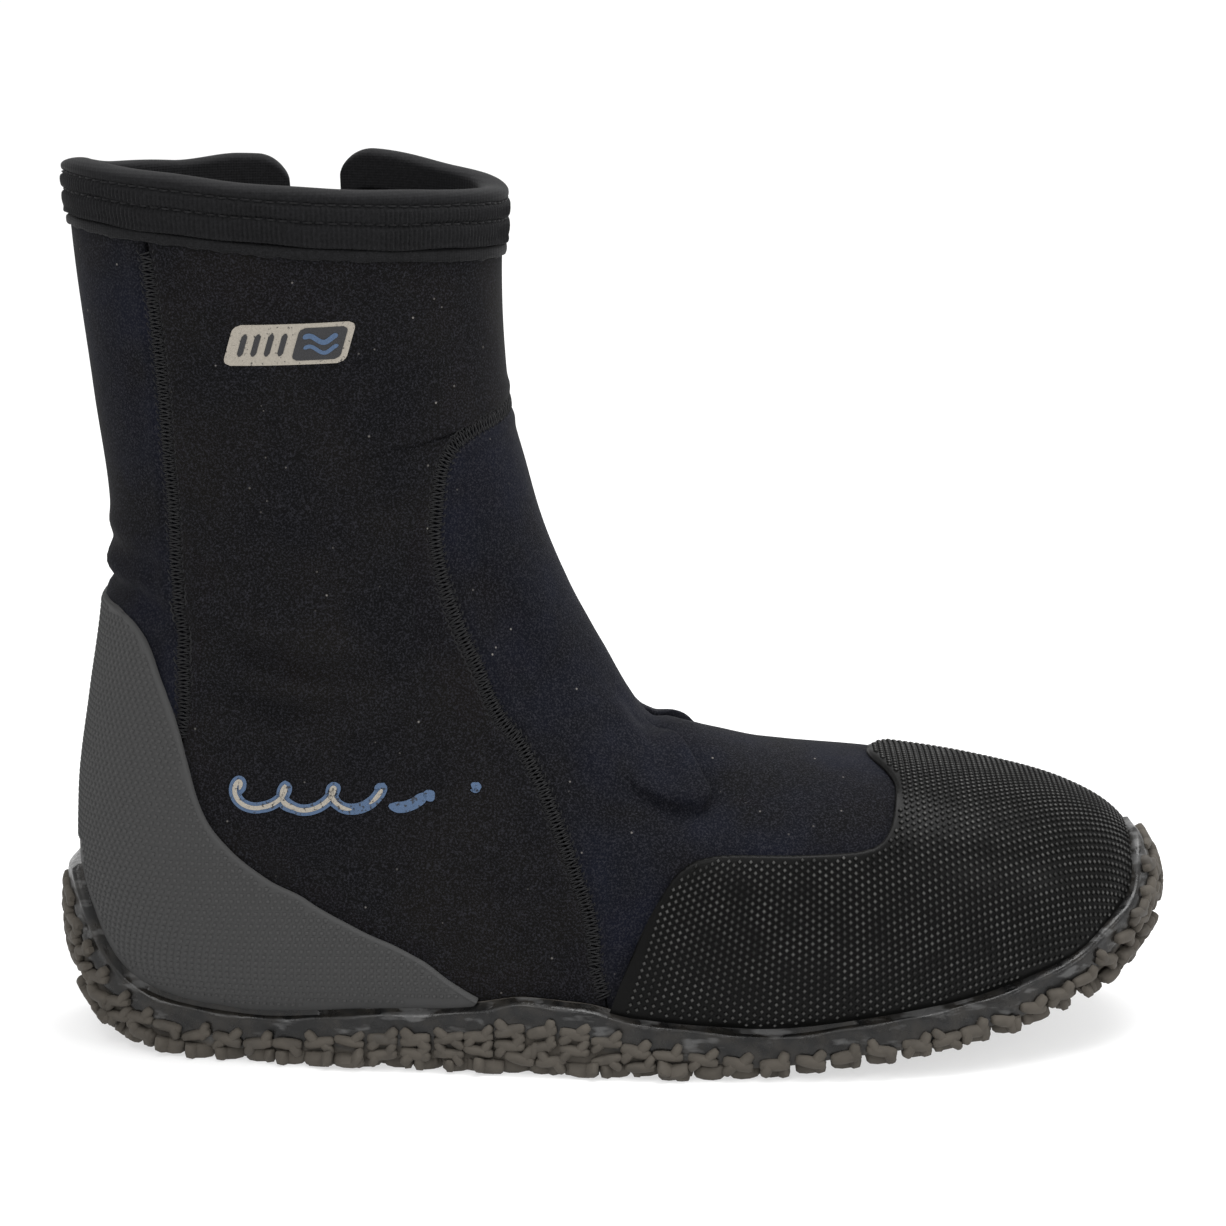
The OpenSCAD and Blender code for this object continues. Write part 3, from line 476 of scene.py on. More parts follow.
def pill(length, width, height, foot, rings=6, sides=8):
    """Points and faces of a rounded bar lying along x, with its foot sunk below z = 0."""
    points = []
    for k in range(rings):
        x = -math.cos(math.pi * k / (rings - 1))
        reach = math.sqrt(max(0.0, 1 - abs(x)**2.6)) if 0 < k < rings - 1 else 0.12
        for j in range(sides):
            a = 2 * math.pi * (j + 0.5) / sides
            y = math.copysign(abs(math.cos(a))**0.7, math.cos(a)) * width / 2 * mix(0.45, 1, reach)
            z = math.copysign(abs(math.sin(a))**0.7, math.sin(a))
            top = height * mix(0.55, 1, reach)
            points.append((x * length / 2, y, z * top if z > 0 else z * foot))
    faces = [[k * sides + j, k * sides + (j + 1) % sides, (k + 1) * sides + (j + 1) % sides,
              (k + 1) * sides + j][::-1] for k in range(rings - 1) for j in range(sides)]
    faces += [list(range(sides)), list(range((rings - 1) * sides, rings * sides))[::-1]]
    return np.array(points), faces


def slab(outline, low, high, bevel):
    """Points and faces of a flat plate with eased edges: outline in x and z, depth along y."""
    outline = np.array(outline, float)
    n = len(outline)
    before, after = np.roll(outline, 1, 0), np.roll(outline, -1, 0)
    inward = unit(unit(before - outline) + unit(after - outline) + 1e-9)
    centre = outline.mean(0)
    inward *= np.sign(((centre - outline) * inward).sum(-1, keepdims=True))
    small = outline + inward * bevel
    levels = [(small, low), (outline, low + bevel), (outline, high - bevel), (small, high)]
    points = [(x, y, z) for ring, y in levels for x, z in ring]
    faces = [[r * n + j, r * n + (j + 1) % n, (r + 1) * n + (j + 1) % n, (r + 1) * n + j]
             for r in range(3) for j in range(n)]
    faces += [list(range(n))[::-1], list(range(3 * n, 4 * n))]
    area = sum(outline[j - 1][0] * outline[j][1] - outline[j][0] * outline[j - 1][1] for j in range(n))
    return np.array(points), [f[::-1] for f in faces] if area > 0 else faces


# ---- Materials ----

class Recipe:
    """A node material being put together, with sizes in millimetres."""

    def __init__(self, name, roughness, sheen=0.0, sheen_roughness=0.5, specular=0.5):
        self.material = bpy.data.materials.new(name)
        self.material.use_nodes = True
        self.nodes = self.material.node_tree.nodes
        self.links = self.material.node_tree.links
        self.nodes.clear()
        self.shader = self.nodes.new("ShaderNodeBsdfPrincipled")
        output = self.nodes.new("ShaderNodeOutputMaterial")
        self.links.new(self.shader.outputs[0], output.inputs[0])
        self.shader.inputs["Roughness"].default_value = roughness
        self.shader.inputs["Sheen Weight"].default_value = sheen
        self.shader.inputs["Sheen Roughness"].default_value = sheen_roughness
        self.shader.inputs["Specular IOR Level"].default_value = specular
        self.place = self.nodes.new("ShaderNodeTexCoord").outputs["Object"]
        self.last_bump = None

    def put(self, node, socket, value):
        if hasattr(value, "is_output"):
            self.links.new(value, node.inputs[socket])
        else:
            node.inputs[socket].default_value = value

    def noise(self, size, detail=3.0, stretch=None):
        node = self.nodes.new("ShaderNodeTexNoise")
        node.inputs["Scale"].default_value = 1 / (size * MM)
        node.inputs["Detail"].default_value = detail
        self.put(node, "Vector", self.stretched(stretch) if stretch else self.place)
        return node.outputs["Fac"]

    def stretched(self, factors):
        node = self.nodes.new("ShaderNodeMapping")
        node.inputs["Scale"].default_value = factors
        self.put(node, "Vector", self.place)
        return node.outputs["Vector"]

    def cells(self, size):
        node = self.nodes.new("ShaderNodeTexVoronoi")
        node.inputs["Scale"].default_value = 1 / (size * MM)
        self.put(node, "Vector", self.place)
        return node.outputs["Distance"]

    def waves(self, size, direction, distortion=0.0):
        node = self.nodes.new("ShaderNodeTexWave")
        node.bands_direction = direction
        node.inputs["Scale"].default_value = 1 / (size * MM) / 3.2
        node.inputs["Distortion"].default_value = distortion
        self.put(node, "Vector", self.place)
        return node.outputs["Fac"]

    def mark(self):
        node = self.nodes.new("ShaderNodeAttribute")
        node.attribute_name = "mark"
        return node.outputs["Fac"]

    def ranged(self, value, low, high, to_low=0.0, to_high=1.0):
        node = self.nodes.new("ShaderNodeMapRange")
        self.put(node, "Value", value)
        for socket, number in zip(("From Min", "From Max", "To Min", "To Max"), (low, high, to_low, to_high)):
            node.inputs[socket].default_value = number
        return node.outputs["Result"]

    def times(self, a, b, operation="MULTIPLY"):
        node = self.nodes.new("ShaderNodeMath")
        node.operation = operation
        self.put(node, 0, a)
        self.put(node, 1, b)
        return node.outputs[0]

    def blend(self, share, a, b):
        node = self.nodes.new("ShaderNodeMix")
        node.data_type = "RGBA"
        self.put(node, 0, share)
        self.put(node, 6, (*a, 1.0) if isinstance(a, tuple) else a)
        self.put(node, 7, (*b, 1.0) if isinstance(b, tuple) else b)
        return node.outputs[2]

    def colour(self, value):
        self.put(self.shader, "Base Color", (*value, 1.0) if isinstance(value, tuple) else value)

    def rough(self, value):
        self.put(self.shader, "Roughness", value)

    def bump(self, height, depth, strength=1.0):
        node = self.nodes.new("ShaderNodeBump")
        node.inputs["Distance"].default_value = depth * MM
        node.inputs["Strength"].default_value = strength
        self.put(node, "Height", height)
        if self.last_bump is not None:
            self.links.new(self.last_bump, node.inputs["Normal"])
        self.last_bump = node.outputs["Normal"]
        self.put(self.shader, "Normal", self.last_bump)


def shade(colour, k):
    return tuple(float(c) * k for c in colour)


def knit_material(name, colour, tint, lint=0.9):
    """Matt knitted nylon on foam, with a fine grain, a mottled tint and stray lint."""
    r = Recipe(name, 0.9, sheen=0.012, sheen_roughness=0.5, specular=0.08)
    mottle = r.ranged(r.noise(26, 4.0), 0.36, 0.64)
    base = r.blend(mottle, shade(colour, 0.75), tint)
    grain = r.ranged(r.noise(0.5, 2.0), 0.46, 0.74)
    base = r.blend(r.times(grain, 0.75), base, shade(colour, 6.5))
    flecks = r.ranged(r.cells(5.0), 0.075, 0.035)
    thin = r.ranged(r.noise(9, 2.0), 0.47, 0.6)
    base = r.blend(r.times(r.times(flecks, thin), lint), base, (0.16, 0.15, 0.14))
    dots = r.ranged(r.cells(2.3), 0.05, 0.02)
    rare = r.ranged(r.noise(3.5, 1.0), 0.6, 0.68)
    base = r.blend(r.times(r.times(dots, rare), 0.5), base, (0.10, 0.10, 0.11))
    r.colour(base)
    r.bump(r.noise(0.42, 2.0), 0.12, 0.8)
    r.bump(r.noise(2.6, 3.0), 0.25, 0.35)
    return r.material


def thread_material(name, colour):
    """Sewing thread with a fine twist and lighter worn places."""
    r = Recipe(name, 0.6, sheen=0.03, sheen_roughness=0.4, specular=0.2)
    r.colour(r.blend(r.ranged(r.noise(0.8, 2.0), 0.35, 0.7), colour, shade(colour, 2.2)))
    r.bump(r.noise(0.18, 2.0), 0.08)
    return r.material


def tape_material(name, colour, size=0.55):
    """Woven or ribbed tape, with a fine crossed weave."""
    r = Recipe(name, 0.8, sheen=0.03, sheen_roughness=0.4, specular=0.12)
    weave = r.times(r.waves(size, "Z", 0.4), r.waves(size, "X", 0.4), "ADD")
    fuzz = r.ranged(r.noise(0.7, 3.0), 0.35, 0.7)
    r.colour(r.blend(r.times(fuzz, 0.7), colour, shade(colour, 2.4)))
    r.bump(weave, 0.07, 0.6)
    r.bump(r.noise(0.35, 2.0), 0.1, 0.6)
    return r.material


def cap_material(name, colour):
    """Satin rubber with faint smears and a fine grain, its face between the raised dots darkened as painted
    shade, and pale dust with a painted highlight on the dots' tops.
    """
    r = Recipe(name, 0.42, specular=0.08)
    cloud = r.ranged(r.noise(30, 3.0), 0.35, 0.65)
    base = r.blend(cloud, shade(colour, 0.8), shade(colour, 1.2))
    # Painted shade and highlight: the cap's face and the dots' feet are darkened to a fifth of the colour,
    # while the dots' tops keep it, standing in for light and shade on the dots.
    raised = r.ranged(r.mark(), 0.3, 0.95)
    base = r.blend(raised, shade(colour, 0.2), base)
    # The pale noise on the dots' tops, up to 6.5 times the colour, is partly dust and partly a painted
    # highlight.
    dust = r.times(r.ranged(r.noise(6, 4.0), 0.3, 0.7), raised)
    base = r.blend(r.times(dust, 0.85), base, shade(colour, 6.5))
    r.colour(base)
    r.rough(r.ranged(r.noise(12, 4.0), 0.3, 0.7, 0.3, 0.46))
    r.bump(r.noise(0.3, 2.0), 0.05, 0.5)
    return r.material


def sole_material(name, dark, dusty):
    """Rubber, dark and glossy with cement smears at its top edge, and dusty lower down."""
    r = Recipe(name, 0.5, specular=0.32)
    wave = r.times(r.noise(11, 3.0), 5.0)
    lower = r.ranged(r.times(r.mark(), wave, "ADD"), 9.5, 12.5)
    base = r.blend(lower, dark, dusty)
    soil = r.ranged(r.noise(5, 5.0), 0.42, 0.66)
    base = r.blend(r.times(soil, 0.45), base, shade(dusty, 0.45))
    smear = r.ranged(r.noise(6, 3.0, (0.5, 1.0, 1.6)), 0.56, 0.64)
    upper = r.ranged(lower, 1.0, 0.0)
    base = r.blend(r.times(r.times(smear, upper), 0.4), base, (0.13, 0.13, 0.13))
    r.colour(base)
    gloss = r.ranged(r.noise(4, 3.0), 0.4, 0.62, 0.2, 0.42)
    dull = r.nodes.new("ShaderNodeMix")
    r.put(dull, 0, lower)
    r.put(dull, 2, gloss)
    dull.inputs[3].default_value = 0.78
    r.rough(dull.outputs[0])
    r.bump(r.noise(2.2, 3.0), 0.35, 0.5)
    r.bump(r.noise(0.35, 2.0), 0.07, 0.5)
    return r.material


def plastic_material(name, colour):
    """Moulded plastic, scuffed in places."""
    r = Recipe(name, 0.36, specular=0.5)
    r.colour(r.blend(r.ranged(r.noise(2, 3.0), 0.4, 0.7), colour, shade(colour, 1.8)))
    r.rough(r.ranged(r.noise(1.5, 4.0), 0.35, 0.7, 0.28, 0.5))
    r.bump(r.noise(0.4, 2.0), 0.03, 0.5)
    return r.material


def print_material(name, colour, worn, wear=0.5):
    """A matt transfer print, cracked and rubbed so that the cloth shows through."""
    r = Recipe(name, 0.7, sheen=0.1)
    grain = r.ranged(r.noise(0.5, 3.0), 0.3, 0.7)
    base = r.blend(r.times(grain, 0.45), colour, shade(colour, 0.6))
    rubbed = r.ranged(r.noise(0.9, 4.0), 0.66 - 0.2 * wear, 0.72 - 0.2 * wear)
    base = r.blend(r.times(rubbed, 0.85), base, worn)
    r.colour(base)
    r.bump(r.noise(0.45, 2.0), 0.08, 0.6)
    return r.material


def stage_material(name, colour, glow):
    """Pale paper that glows a little, so that the floor stays even."""
    r = Recipe(name, 0.9, specular=0.2)
    r.colour(r.blend(r.ranged(r.noise(60, 2.0), 0.4, 0.6), colour, shade(colour, 0.99)))
    r.shader.inputs["Emission Color"].default_value = (1, 1, 1, 1)
    r.shader.inputs["Emission Strength"].default_value = glow
    return r.material


# ---- Sizes and colours that can be changed ----

def millimetres(name, description, default, low=0.0, high=100.0):
    return FloatProperty(name=name, description=description, default=default, min=low, max=high,
                         unit="LENGTH")


def colour_of(name, description, default):
    return FloatVectorProperty(name=name, description=description, default=default, size=3,
                               subtype="COLOR", min=0.0, max=1.0)


class BootSizes(bpy.types.PropertyGroup):
    """Sizes of the boot's details"""
    dot_pitch: millimetres("Dot pitch", "Distance between the raised dots on the caps", 1.9 * MM)
    dot_height: millimetres("Dot height", "Height of the raised dots on the caps", 0.5 * MM)
    rib_pitch: millimetres("Rib pitch", "Distance between the binding's ribs", 1.25 * MM)
    binding: millimetres("Binding", "Height of the collar binding on the outside", 11.8 * MM)
    stitch_pitch: millimetres("Stitch pitch", "Distance between the seams' stitches", 2.1 * MM)
    lug_pitch: millimetres("Lug pitch", "Distance between the sole's lugs", 7.8 * MM)
    seed: IntProperty(name="Seed", description="Seed of the small uneven details", default=7)


class BootColours(bpy.types.PropertyGroup):
    """Colours of the boot's materials"""
    neoprene: colour_of("Neoprene", "Colour of the knitted face", (0.0034, 0.0034, 0.0042))
    navy: colour_of("Navy tint", "Tint of the back and the vamp", (0.0034, 0.0042, 0.0085))
    brown: colour_of("Warm tint", "Tint of the side panel", (0.0046, 0.0041, 0.0038))
    thread: colour_of("Thread", "Colour of the seams' thread", (0.0045, 0.0045, 0.005))
    binding: colour_of("Binding", "Colour of the collar binding", (0.005, 0.005, 0.0055))
    cap: colour_of("Caps", "Colour of the toe and heel caps", (0.012, 0.012, 0.0115))
    sole: colour_of("Sole", "Colour of the sole's smooth edge", (0.0045, 0.0045, 0.0045))
    dust: colour_of("Dust", "Colour of the dusty tread", (0.062, 0.054, 0.044))
    plastic: colour_of("Zip plastic", "Colour of the zip's teeth and slider", (0.01, 0.01, 0.011))
    sand: colour_of("Sand print", "Colour of the prints' pale parts", (0.3, 0.272, 0.228))
    blue: colour_of("Blue print", "Colour of the prints' outlines", (0.045, 0.085, 0.16))


def sizes():
    return bpy.context.scene.boot_sizes


def tone(name):
    return tuple(getattr(bpy.context.scene.boot_colours, name))


# ---- The pieces ----

FOAM = 5.0
EDGE_ROUND = 1.1
# Half the slit between two panels, in degrees round the skin.
SEAM_CUT = 0.25


def cloth(s, t, off=0.0):
    """A place on the displaced cloth, off millimetres above it."""
    p, n = skin(s, t), outward(s, t)
    height, shift = relief(p, s, t)
    return p + shift + n * (height + off)[..., None]


def edge_run(p, keep_sides):
    """Distance of each grid point from the chosen borders of its grid."""
    along_rows = np.linalg.norm(np.diff(p, axis=0), axis=2)
    along_cols = np.linalg.norm(np.diff(p, axis=1), axis=2)
    zero_row, zero_col = np.zeros((1, p.shape[1])), np.zeros((p.shape[0], 1))
    runs = {
        "start": np.vstack([zero_row, np.cumsum(along_rows, 0)]),
        "end": np.vstack([np.cumsum(along_rows[::-1], 0)[::-1], zero_row]),
        "low": np.hstack([zero_col, np.cumsum(along_cols, 1)]),
        "high": np.hstack([np.cumsum(along_cols[:, ::-1], 1)[:, ::-1], zero_col]),
    }
    return np.minimum.reduce([runs[k] for k in keep_sides])


def eased(dist, radius):
    """How far a rounded edge lies below its face at this distance from it."""
    return radius - np.sqrt(np.maximum(radius**2 - np.clip(radius - dist, 0, radius)**2, 0))


def shares(n):
    """Even shares from 0 to 1 with extra ones beside both ends."""
    return np.concatenate([[0, 0.003, 0.008], np.linspace(0.016, 0.984, n), [0.992, 0.997, 1]])


def foam_panel(name, s, t, material, slot, stands_for, edges=("low", "high"), keep=None, passes=0):
    """A foam panel over the grid of places s, t."""
    p, n = skin(s, t), outward(s, t)
    height, shift = relief(p, s, t)
    drop = eased(edge_run(p, edges), EDGE_ROUND)
    outer = softened(p + shift + n * (height - drop)[..., None], passes)
    inner = p + n * (-FOAM + np.clip(height, -6, 0.5))[..., None] + shift * 0.5
    points, faces, _ = shell(outer, inner, keep)
    obj = Stock().add(points, faces.tolist()).piece(name, slot, material, stands_for)
    return obj


def steps(*stretches):
    """Joins stretches of (start, end, step) into one run of values."""
    parts = [np.linspace(a, b, max(2, int(round((b - a) / step)) + 1))[:-1] for a, b, step in stretches]
    return np.concatenate(parts + [[stretches[-1][1]]])


def keep_cells(whole, cols, left, middle):
    """Cells to keep: all in the whole rows, and elsewhere those beside the middle columns."""
    whole, col = np.meshgrid(whole, np.arange(cols - 1), indexing="ij")
    return whole | (col < left - 1) | (col >= left + middle)


def make_panels():
    """The five foam panels of the upper."""
    navy = knit_material("knit_navy", tone("neoprene"), tone("navy"))
    warm = knit_material("knit_warm", tone("neoprene"), tone("brown"))
    cut = SEAM_CUT
    rows = steps((HEEL_CORNER + 0.02, 13, 0.09), (13, 15, 0.05), (15, TOP, 0.08))
    f = shares(90)
    s = np.repeat(rows[:, None], len(f), 1)
    edge = (rear_seam(rows) - cut)[:, None]
    foam_panel("back_foam", s, mix(-edge, edge, f), navy, "neoprene", ["back_panel"])

    rows = steps((SEAM_FOOT, 11, 0.08), (11, 14, 0.05), (14, ARCH, 0.07), (ARCH, TOP, 0.06))
    wide, arch, tall = shares(74), np.linspace(0, 1, 34)[1:-1], shares(46)
    a, b = rear_seam(rows) + cut, front_seam(rows) - cut
    parts = [mix(a[:, None], b[:, None], wide), mix(b[:, None], 360 - b[:, None], arch),
             mix(360 - b[:, None], (before_zip(rows) - cut)[:, None], tall)]
    t = np.hstack(parts)
    s = np.repeat(rows[:, None], t.shape[1], 1)
    keep = keep_cells(rows[:-1] > ARCH - 0.01, t.shape[1], len(wide), len(arch))
    foam_panel("shaft_foam", s, t, warm, "neoprene", ["shaft_panel"], keep=keep)

    rows = steps((SEAM_END + 0.1, TOP, 0.09))
    f = shares(30)
    s = np.repeat(rows[:, None], len(f), 1)
    low, high = (behind_zip(rows) + cut)[:, None], (-rear_seam(rows) - cut)[:, None]
    foam_panel("inner_rear_foam", s, mix(low, high, f), warm, "neoprene", ["inner_rear_panel"])

    rows = steps((0.06, 3.6, 0.14), (3.6, 5.8, 0.06), (5.8, 8.2, 0.02), (8.2, 10, 0.04),
                 (10, 14.4, 0.07), (14.4, ARCH - 0.03, 0.04))
    f = shares(216)
    s = np.repeat(rows[:, None], len(f), 1)
    edge = (front_seam(rows) + cut)[:, None]
    foam_panel("vamp_foam", s, mix(edge, 360 - edge, f), navy, "neoprene", ["vamp"], passes=2)

    rows = steps((0.06, HEEL_CORNER - 0.02, 0.14))
    f = shares(24)
    s = np.repeat(rows[:, None], len(f), 1)
    foam_panel("bottom_foam", s, mix(-SOLE_SEAM + cut, SOLE_SEAM - cut, f) + s * 0, warm,
               "neoprene_bottom", ["bottom_panel"])


def make_footbed():
    """The footbed, a foam pad with a brushed face and rounded edges."""
    rows, f = steps((1.0, 9.5, 0.08)), shares(40)
    s = np.repeat(rows[:, None], len(f), 1)
    t = mix(-35.0, 35.0, f) + s * 0
    p, n = skin(s, t), outward(s, t)
    drop = eased(edge_run(p, ("low", "high", "start", "end")), 1.4)
    dish = 0.5 * np.sin(np.pi * f)**2
    inner = p - n * (FOAM + 0.3 + 3.0 - drop - dish * 0.6)[..., None]
    outer = p - n * (FOAM + 0.3 + drop * 0.3)[..., None]
    points, faces, _ = shell(outer, inner)
    cover = tape_material("footbed_cover", (0.03, 0.03, 0.034), 0.9)
    pad = Stock().add(points, faces.tolist()).piece("footbed_pad", "footbed_foam", cover, ["footbed"])


CAP_T = 1.4
BOND = 0.3
# Dots keep this far from a cap's edge, and their rows are closer than the dots in a row.
DOT_CLEAR = 1.35
DOT_ROW_SHARE = 0.87


def cap_piece(name, s, t, keep, edge_points, material, stands_for, dots, lip=0.0):
    """A rubber cap: a thin shell with an eased edge and rows of raised dots."""
    p, n = skin(s, t), outward(s, t)
    edge = skin(*resampled(edge_points, 0.6).T)
    dist, _ = nearest(p, edge)
    soft = cap_softness(p)
    rise = CAP_T - eased(dist, 0.8) * 0.9 + lip * np.exp(-((dist - 0.7) / 0.4)**2)
    outer = p + n * (BOND + rise + soft)[..., None]
    inner = p + n * (BOND + np.minimum(soft, 0))[..., None]
    points, faces, _ = shell(outer, inner, keep)
    # Mark 0 gives the cap's face the painted shade between the dots.
    stock = Stock().add(points, faces.tolist(), 0.0)
    pitch, height = sizes().dot_pitch / MM, sizes().dot_height / MM
    ds, dt = dots
    place, normal = skin(ds, dt), outward(ds, dt)
    dist, _ = nearest(place, edge)
    fits = dist > DOT_CLEAR
    place, normal, ds, dt = place[fits], normal[fits], ds[fits], dt[fits]
    base = place + normal * (BOND + CAP_T + cap_softness(place) - 0.12)[:, None]
    across = unit(skin(ds, dt + 0.5) - skin(ds, dt - 0.5))
    along = np.cross(normal, across)
    corner = [(1, 0), (0, 1), (-1, 0), (0, -1)]
    rings = []
    for scale, lift in ((0.44, 0.0), (0.34, 0.75), (0.17, 1.0)):
        for a, b in corner:
            rings.append(base + (across * a + along * b * 0.92) * pitch * scale
                         + normal * (height + 0.12) * lift)
    grid = np.stack(rings, 1)
    quads = [[r * 4 + j, r * 4 + (j + 1) % 4, r * 4 + 4 + (j + 1) % 4, r * 4 + 4 + j]
             for r in range(2) for j in range(4)] + [[8, 9, 10, 11], [3, 2, 1, 0]]
    faces = (np.arange(len(base))[:, None, None] * 12 + np.array(quads)[None]).reshape(-1, 4)
    # The marks rise from 0 at a dot's foot to 1 at its top, for painted shade below and a painted highlight
    # above.
    marks = np.tile(np.repeat([0.0, 0.3, 1.0], 4), len(base))
    stock.add(grid.reshape(-1, 3), faces.tolist(), marks)
    return stock.piece(name, "cap_rubber", material, stands_for, angle=80)


VALLEY = [(6.2, 92), (5.6, 103.2), (4.82, 111.2), (4.04, 112.5), (3.28, 109), (2.43, 100), (1.8, 98)]
valley_route = skin(*resampled(VALLEY, 1.5).T)
inner_valley_route = skin(*resampled(mirrored(VALLEY), 1.5).T)


def cap_softness(p):
    """Slow unevenness of the caps, with a shallow valley along each side of the toe."""
    soft = 0.22 * np.sin(p[..., 0] / 11) * np.sin(p[..., 2] / 9 + 1)
    for route in (valley_route, inner_valley_route):
        dist, index = nearest(p, route)
        soft = soft - 0.55 * faded(index, len(route), 0.6) * np.exp(-(dist / 8)**2)
    return np.maximum(soft + 0.1, -0.4)


def dot_rows(rows, centre, low, high):
    """Places of dots: each row's dots start from its centre, and odd rows lie between."""
    pitch = sizes().dot_pitch / MM
    found = []
    for k, s in enumerate(rows):
        for way in (-1, 1):
            angles = np.linspace(centre, centre + way * 178, 720)
            line = skin(s, angles)
            run = distance_along(line)
            at = np.arange(0.5 if k % 2 else (0 if way > 0 else 1), run[-1] / pitch) * pitch
            t = np.interp(at, run, angles)
            off_centre = np.abs(t - centre)
            t = t[(off_centre >= low(s)) & (off_centre <= high(s))]
            found += [(s, value) for value in t]
    return np.array(found).T


def level_rows(low_z, high_z, step):
    """Places of the heel cap's dots: level rows, each started from the back's middle."""
    pitch = sizes().dot_pitch / MM
    angles = np.linspace(0, 88, 230)
    levels = np.arange(low_z, high_z, step)
    a = np.repeat(angles[None], len(levels), 0)
    low, high = np.full(a.shape, 7.3), np.full(a.shape, 14.05)
    for _ in range(13):
        mid = (low + high) / 2
        over = skin(mid, a)[..., 2] > levels[:, None]
        low, high = np.where(over, low, mid), np.where(over, mid, high)
    found = []
    for way in (-1, 1):
        place = skin(low, way * a)
        for k, line in enumerate(place):
            run = distance_along(line)
            at = np.arange(0.5 if k % 2 else (0 if way > 0 else 1), run[-1] / pitch) * pitch
            found += list(zip(np.interp(at, run, low[k]), way * np.interp(at, run, angles)))
    return np.array(found).T


def even_rows(start, end, angle, step):
    """Sections that lie step apart along the skin at one angle."""
    line = np.linspace(start, end, 600)
    place = skin(line, angle)
    run = distance_along(place)
    return np.interp(np.arange(0.5, run[-1] / step) * step, run, line)


def cap_back(t):
    """Section of the toe cap's back edge across the top, further back at its middle."""
    return TOE_CAP_BACK + 0.24 * np.cos(np.clip((t - 180) / 28, -1, 1) * np.pi / 2)**2


def make_toe_cap():
    """The toe cap: it reaches back along both sides of the foot."""
    rubber = cap_material("cap_rubber", tone("cap"))
    front = np.linspace(0, 1, 90)
    wings = steps((TOE_CAP_BACK, 6.0, 0.035), (6.0, 6.38, 0.012))[1:]
    rows = np.concatenate([mix(0.9, TOE_CAP_BACK, front), wings])
    back = rows > TOE_CAP_BACK + 1e-6
    low = sole_curve(rows) - 1.5
    high = np.where(back, toe_cap_curve(rows), np.maximum(152.0, low + 8))
    high = np.maximum(high, low + 2)
    wing, mid = np.linspace(0, 1, 80), np.linspace(0, 1, 44)[1:-1]
    t = np.hstack([mix(low[:, None], high[:, None], wing), mix(high[:, None], 360 - high[:, None], mid),
                   mix(360 - high[:, None], 360 - low[:, None], wing)])
    share = np.concatenate([front, np.ones(len(wings))])[:, None]
    s = np.where(back[:, None], rows[:, None], 0.9 + share * (cap_back(t) - 0.9))
    keep = keep_cells(~back[1:], t.shape[1], len(wing), len(mid))
    edge = [(x, float(toe_cap_curve(x))) for x in np.linspace(6.38, TOE_CAP_BACK, 90)]
    middle = [(float(cap_back(a)), float(a)) for a in np.linspace(153, 207, 30)]
    edge_points = edge + middle + mirrored(edge)[::-1]
    step = sizes().dot_pitch / MM * DOT_ROW_SHARE
    sites = dot_rows(even_rows(0.5, 6.3, 100, step), 180, lambda x: 0.0,
                     lambda x: 180 - float(sole_curve(x)) - 3 if x > 0.86 else -1)
    ds, dt = sites
    off = np.abs(dt - 180)
    inside = np.where(ds > cap_back(dt), off > 180 - toe_cap_curve(ds), True)
    inside &= (ds < TOE_CAP_BACK) | (ds > TOE_CAP_BACK) & ((off > 28) | (ds < cap_back(dt)))
    cap_piece("toe_cap_rubber", s, t, keep, edge_points, rubber, ["toe_cap"], sites[:, inside])


def make_heel_cap():
    """The heel cap: it rises up the back above the sole's heel tab."""
    # This finds the frame's own plain material of that name, not the toe cap's recipe.
    rubber = bpy.data.materials.get("cap_rubber") or cap_material("cap_rubber", tone("cap"))
    rows = steps((7.36, 8.6, 0.03), (8.6, HEEL_TAB, 0.05), (HEEL_TAB, 13, 0.05), (13, 14.0, 0.025))
    high = heel_cap_curve(rows)
    low = np.where(rows > HEEL_TAB, high * 0.3, np.minimum(sole_curve(rows) - 1.5, high - 1))
    wing, mid = np.linspace(0, 1, 80), np.linspace(0, 1, 26)[1:-1]
    t = np.hstack([mix(-high[:, None], -low[:, None], wing), mix(-low[:, None], low[:, None], mid),
                   mix(low[:, None], high[:, None], wing)])
    s = np.repeat(rows[:, None], t.shape[1], 1)
    keep = keep_cells(rows[:-1] >= HEEL_TAB, t.shape[1], len(wing), len(mid))
    side = [(x, float(heel_cap_curve(x))) for x in np.linspace(7.36, 14.0, 120)]
    edge_points = side + [(x, -a) for x, a in side][::-1]
    step = sizes().dot_pitch / MM * DOT_ROW_SHARE
    ds, dt = level_rows(9, 125, step)
    round_back = np.abs(dt)
    inside = (round_back < heel_cap_curve(ds)) & (ds > 7.4) & (ds < 13.98)
    inside &= (ds > HEEL_TAB + 0.25) | (round_back > sole_curve(ds) + 3)
    sites = ds[inside], dt[inside]
    cap_piece("heel_cap_rubber", s, t, keep, edge_points, rubber, ["heel_cap"], sites, lip=0.3)


# ---- The sole ----

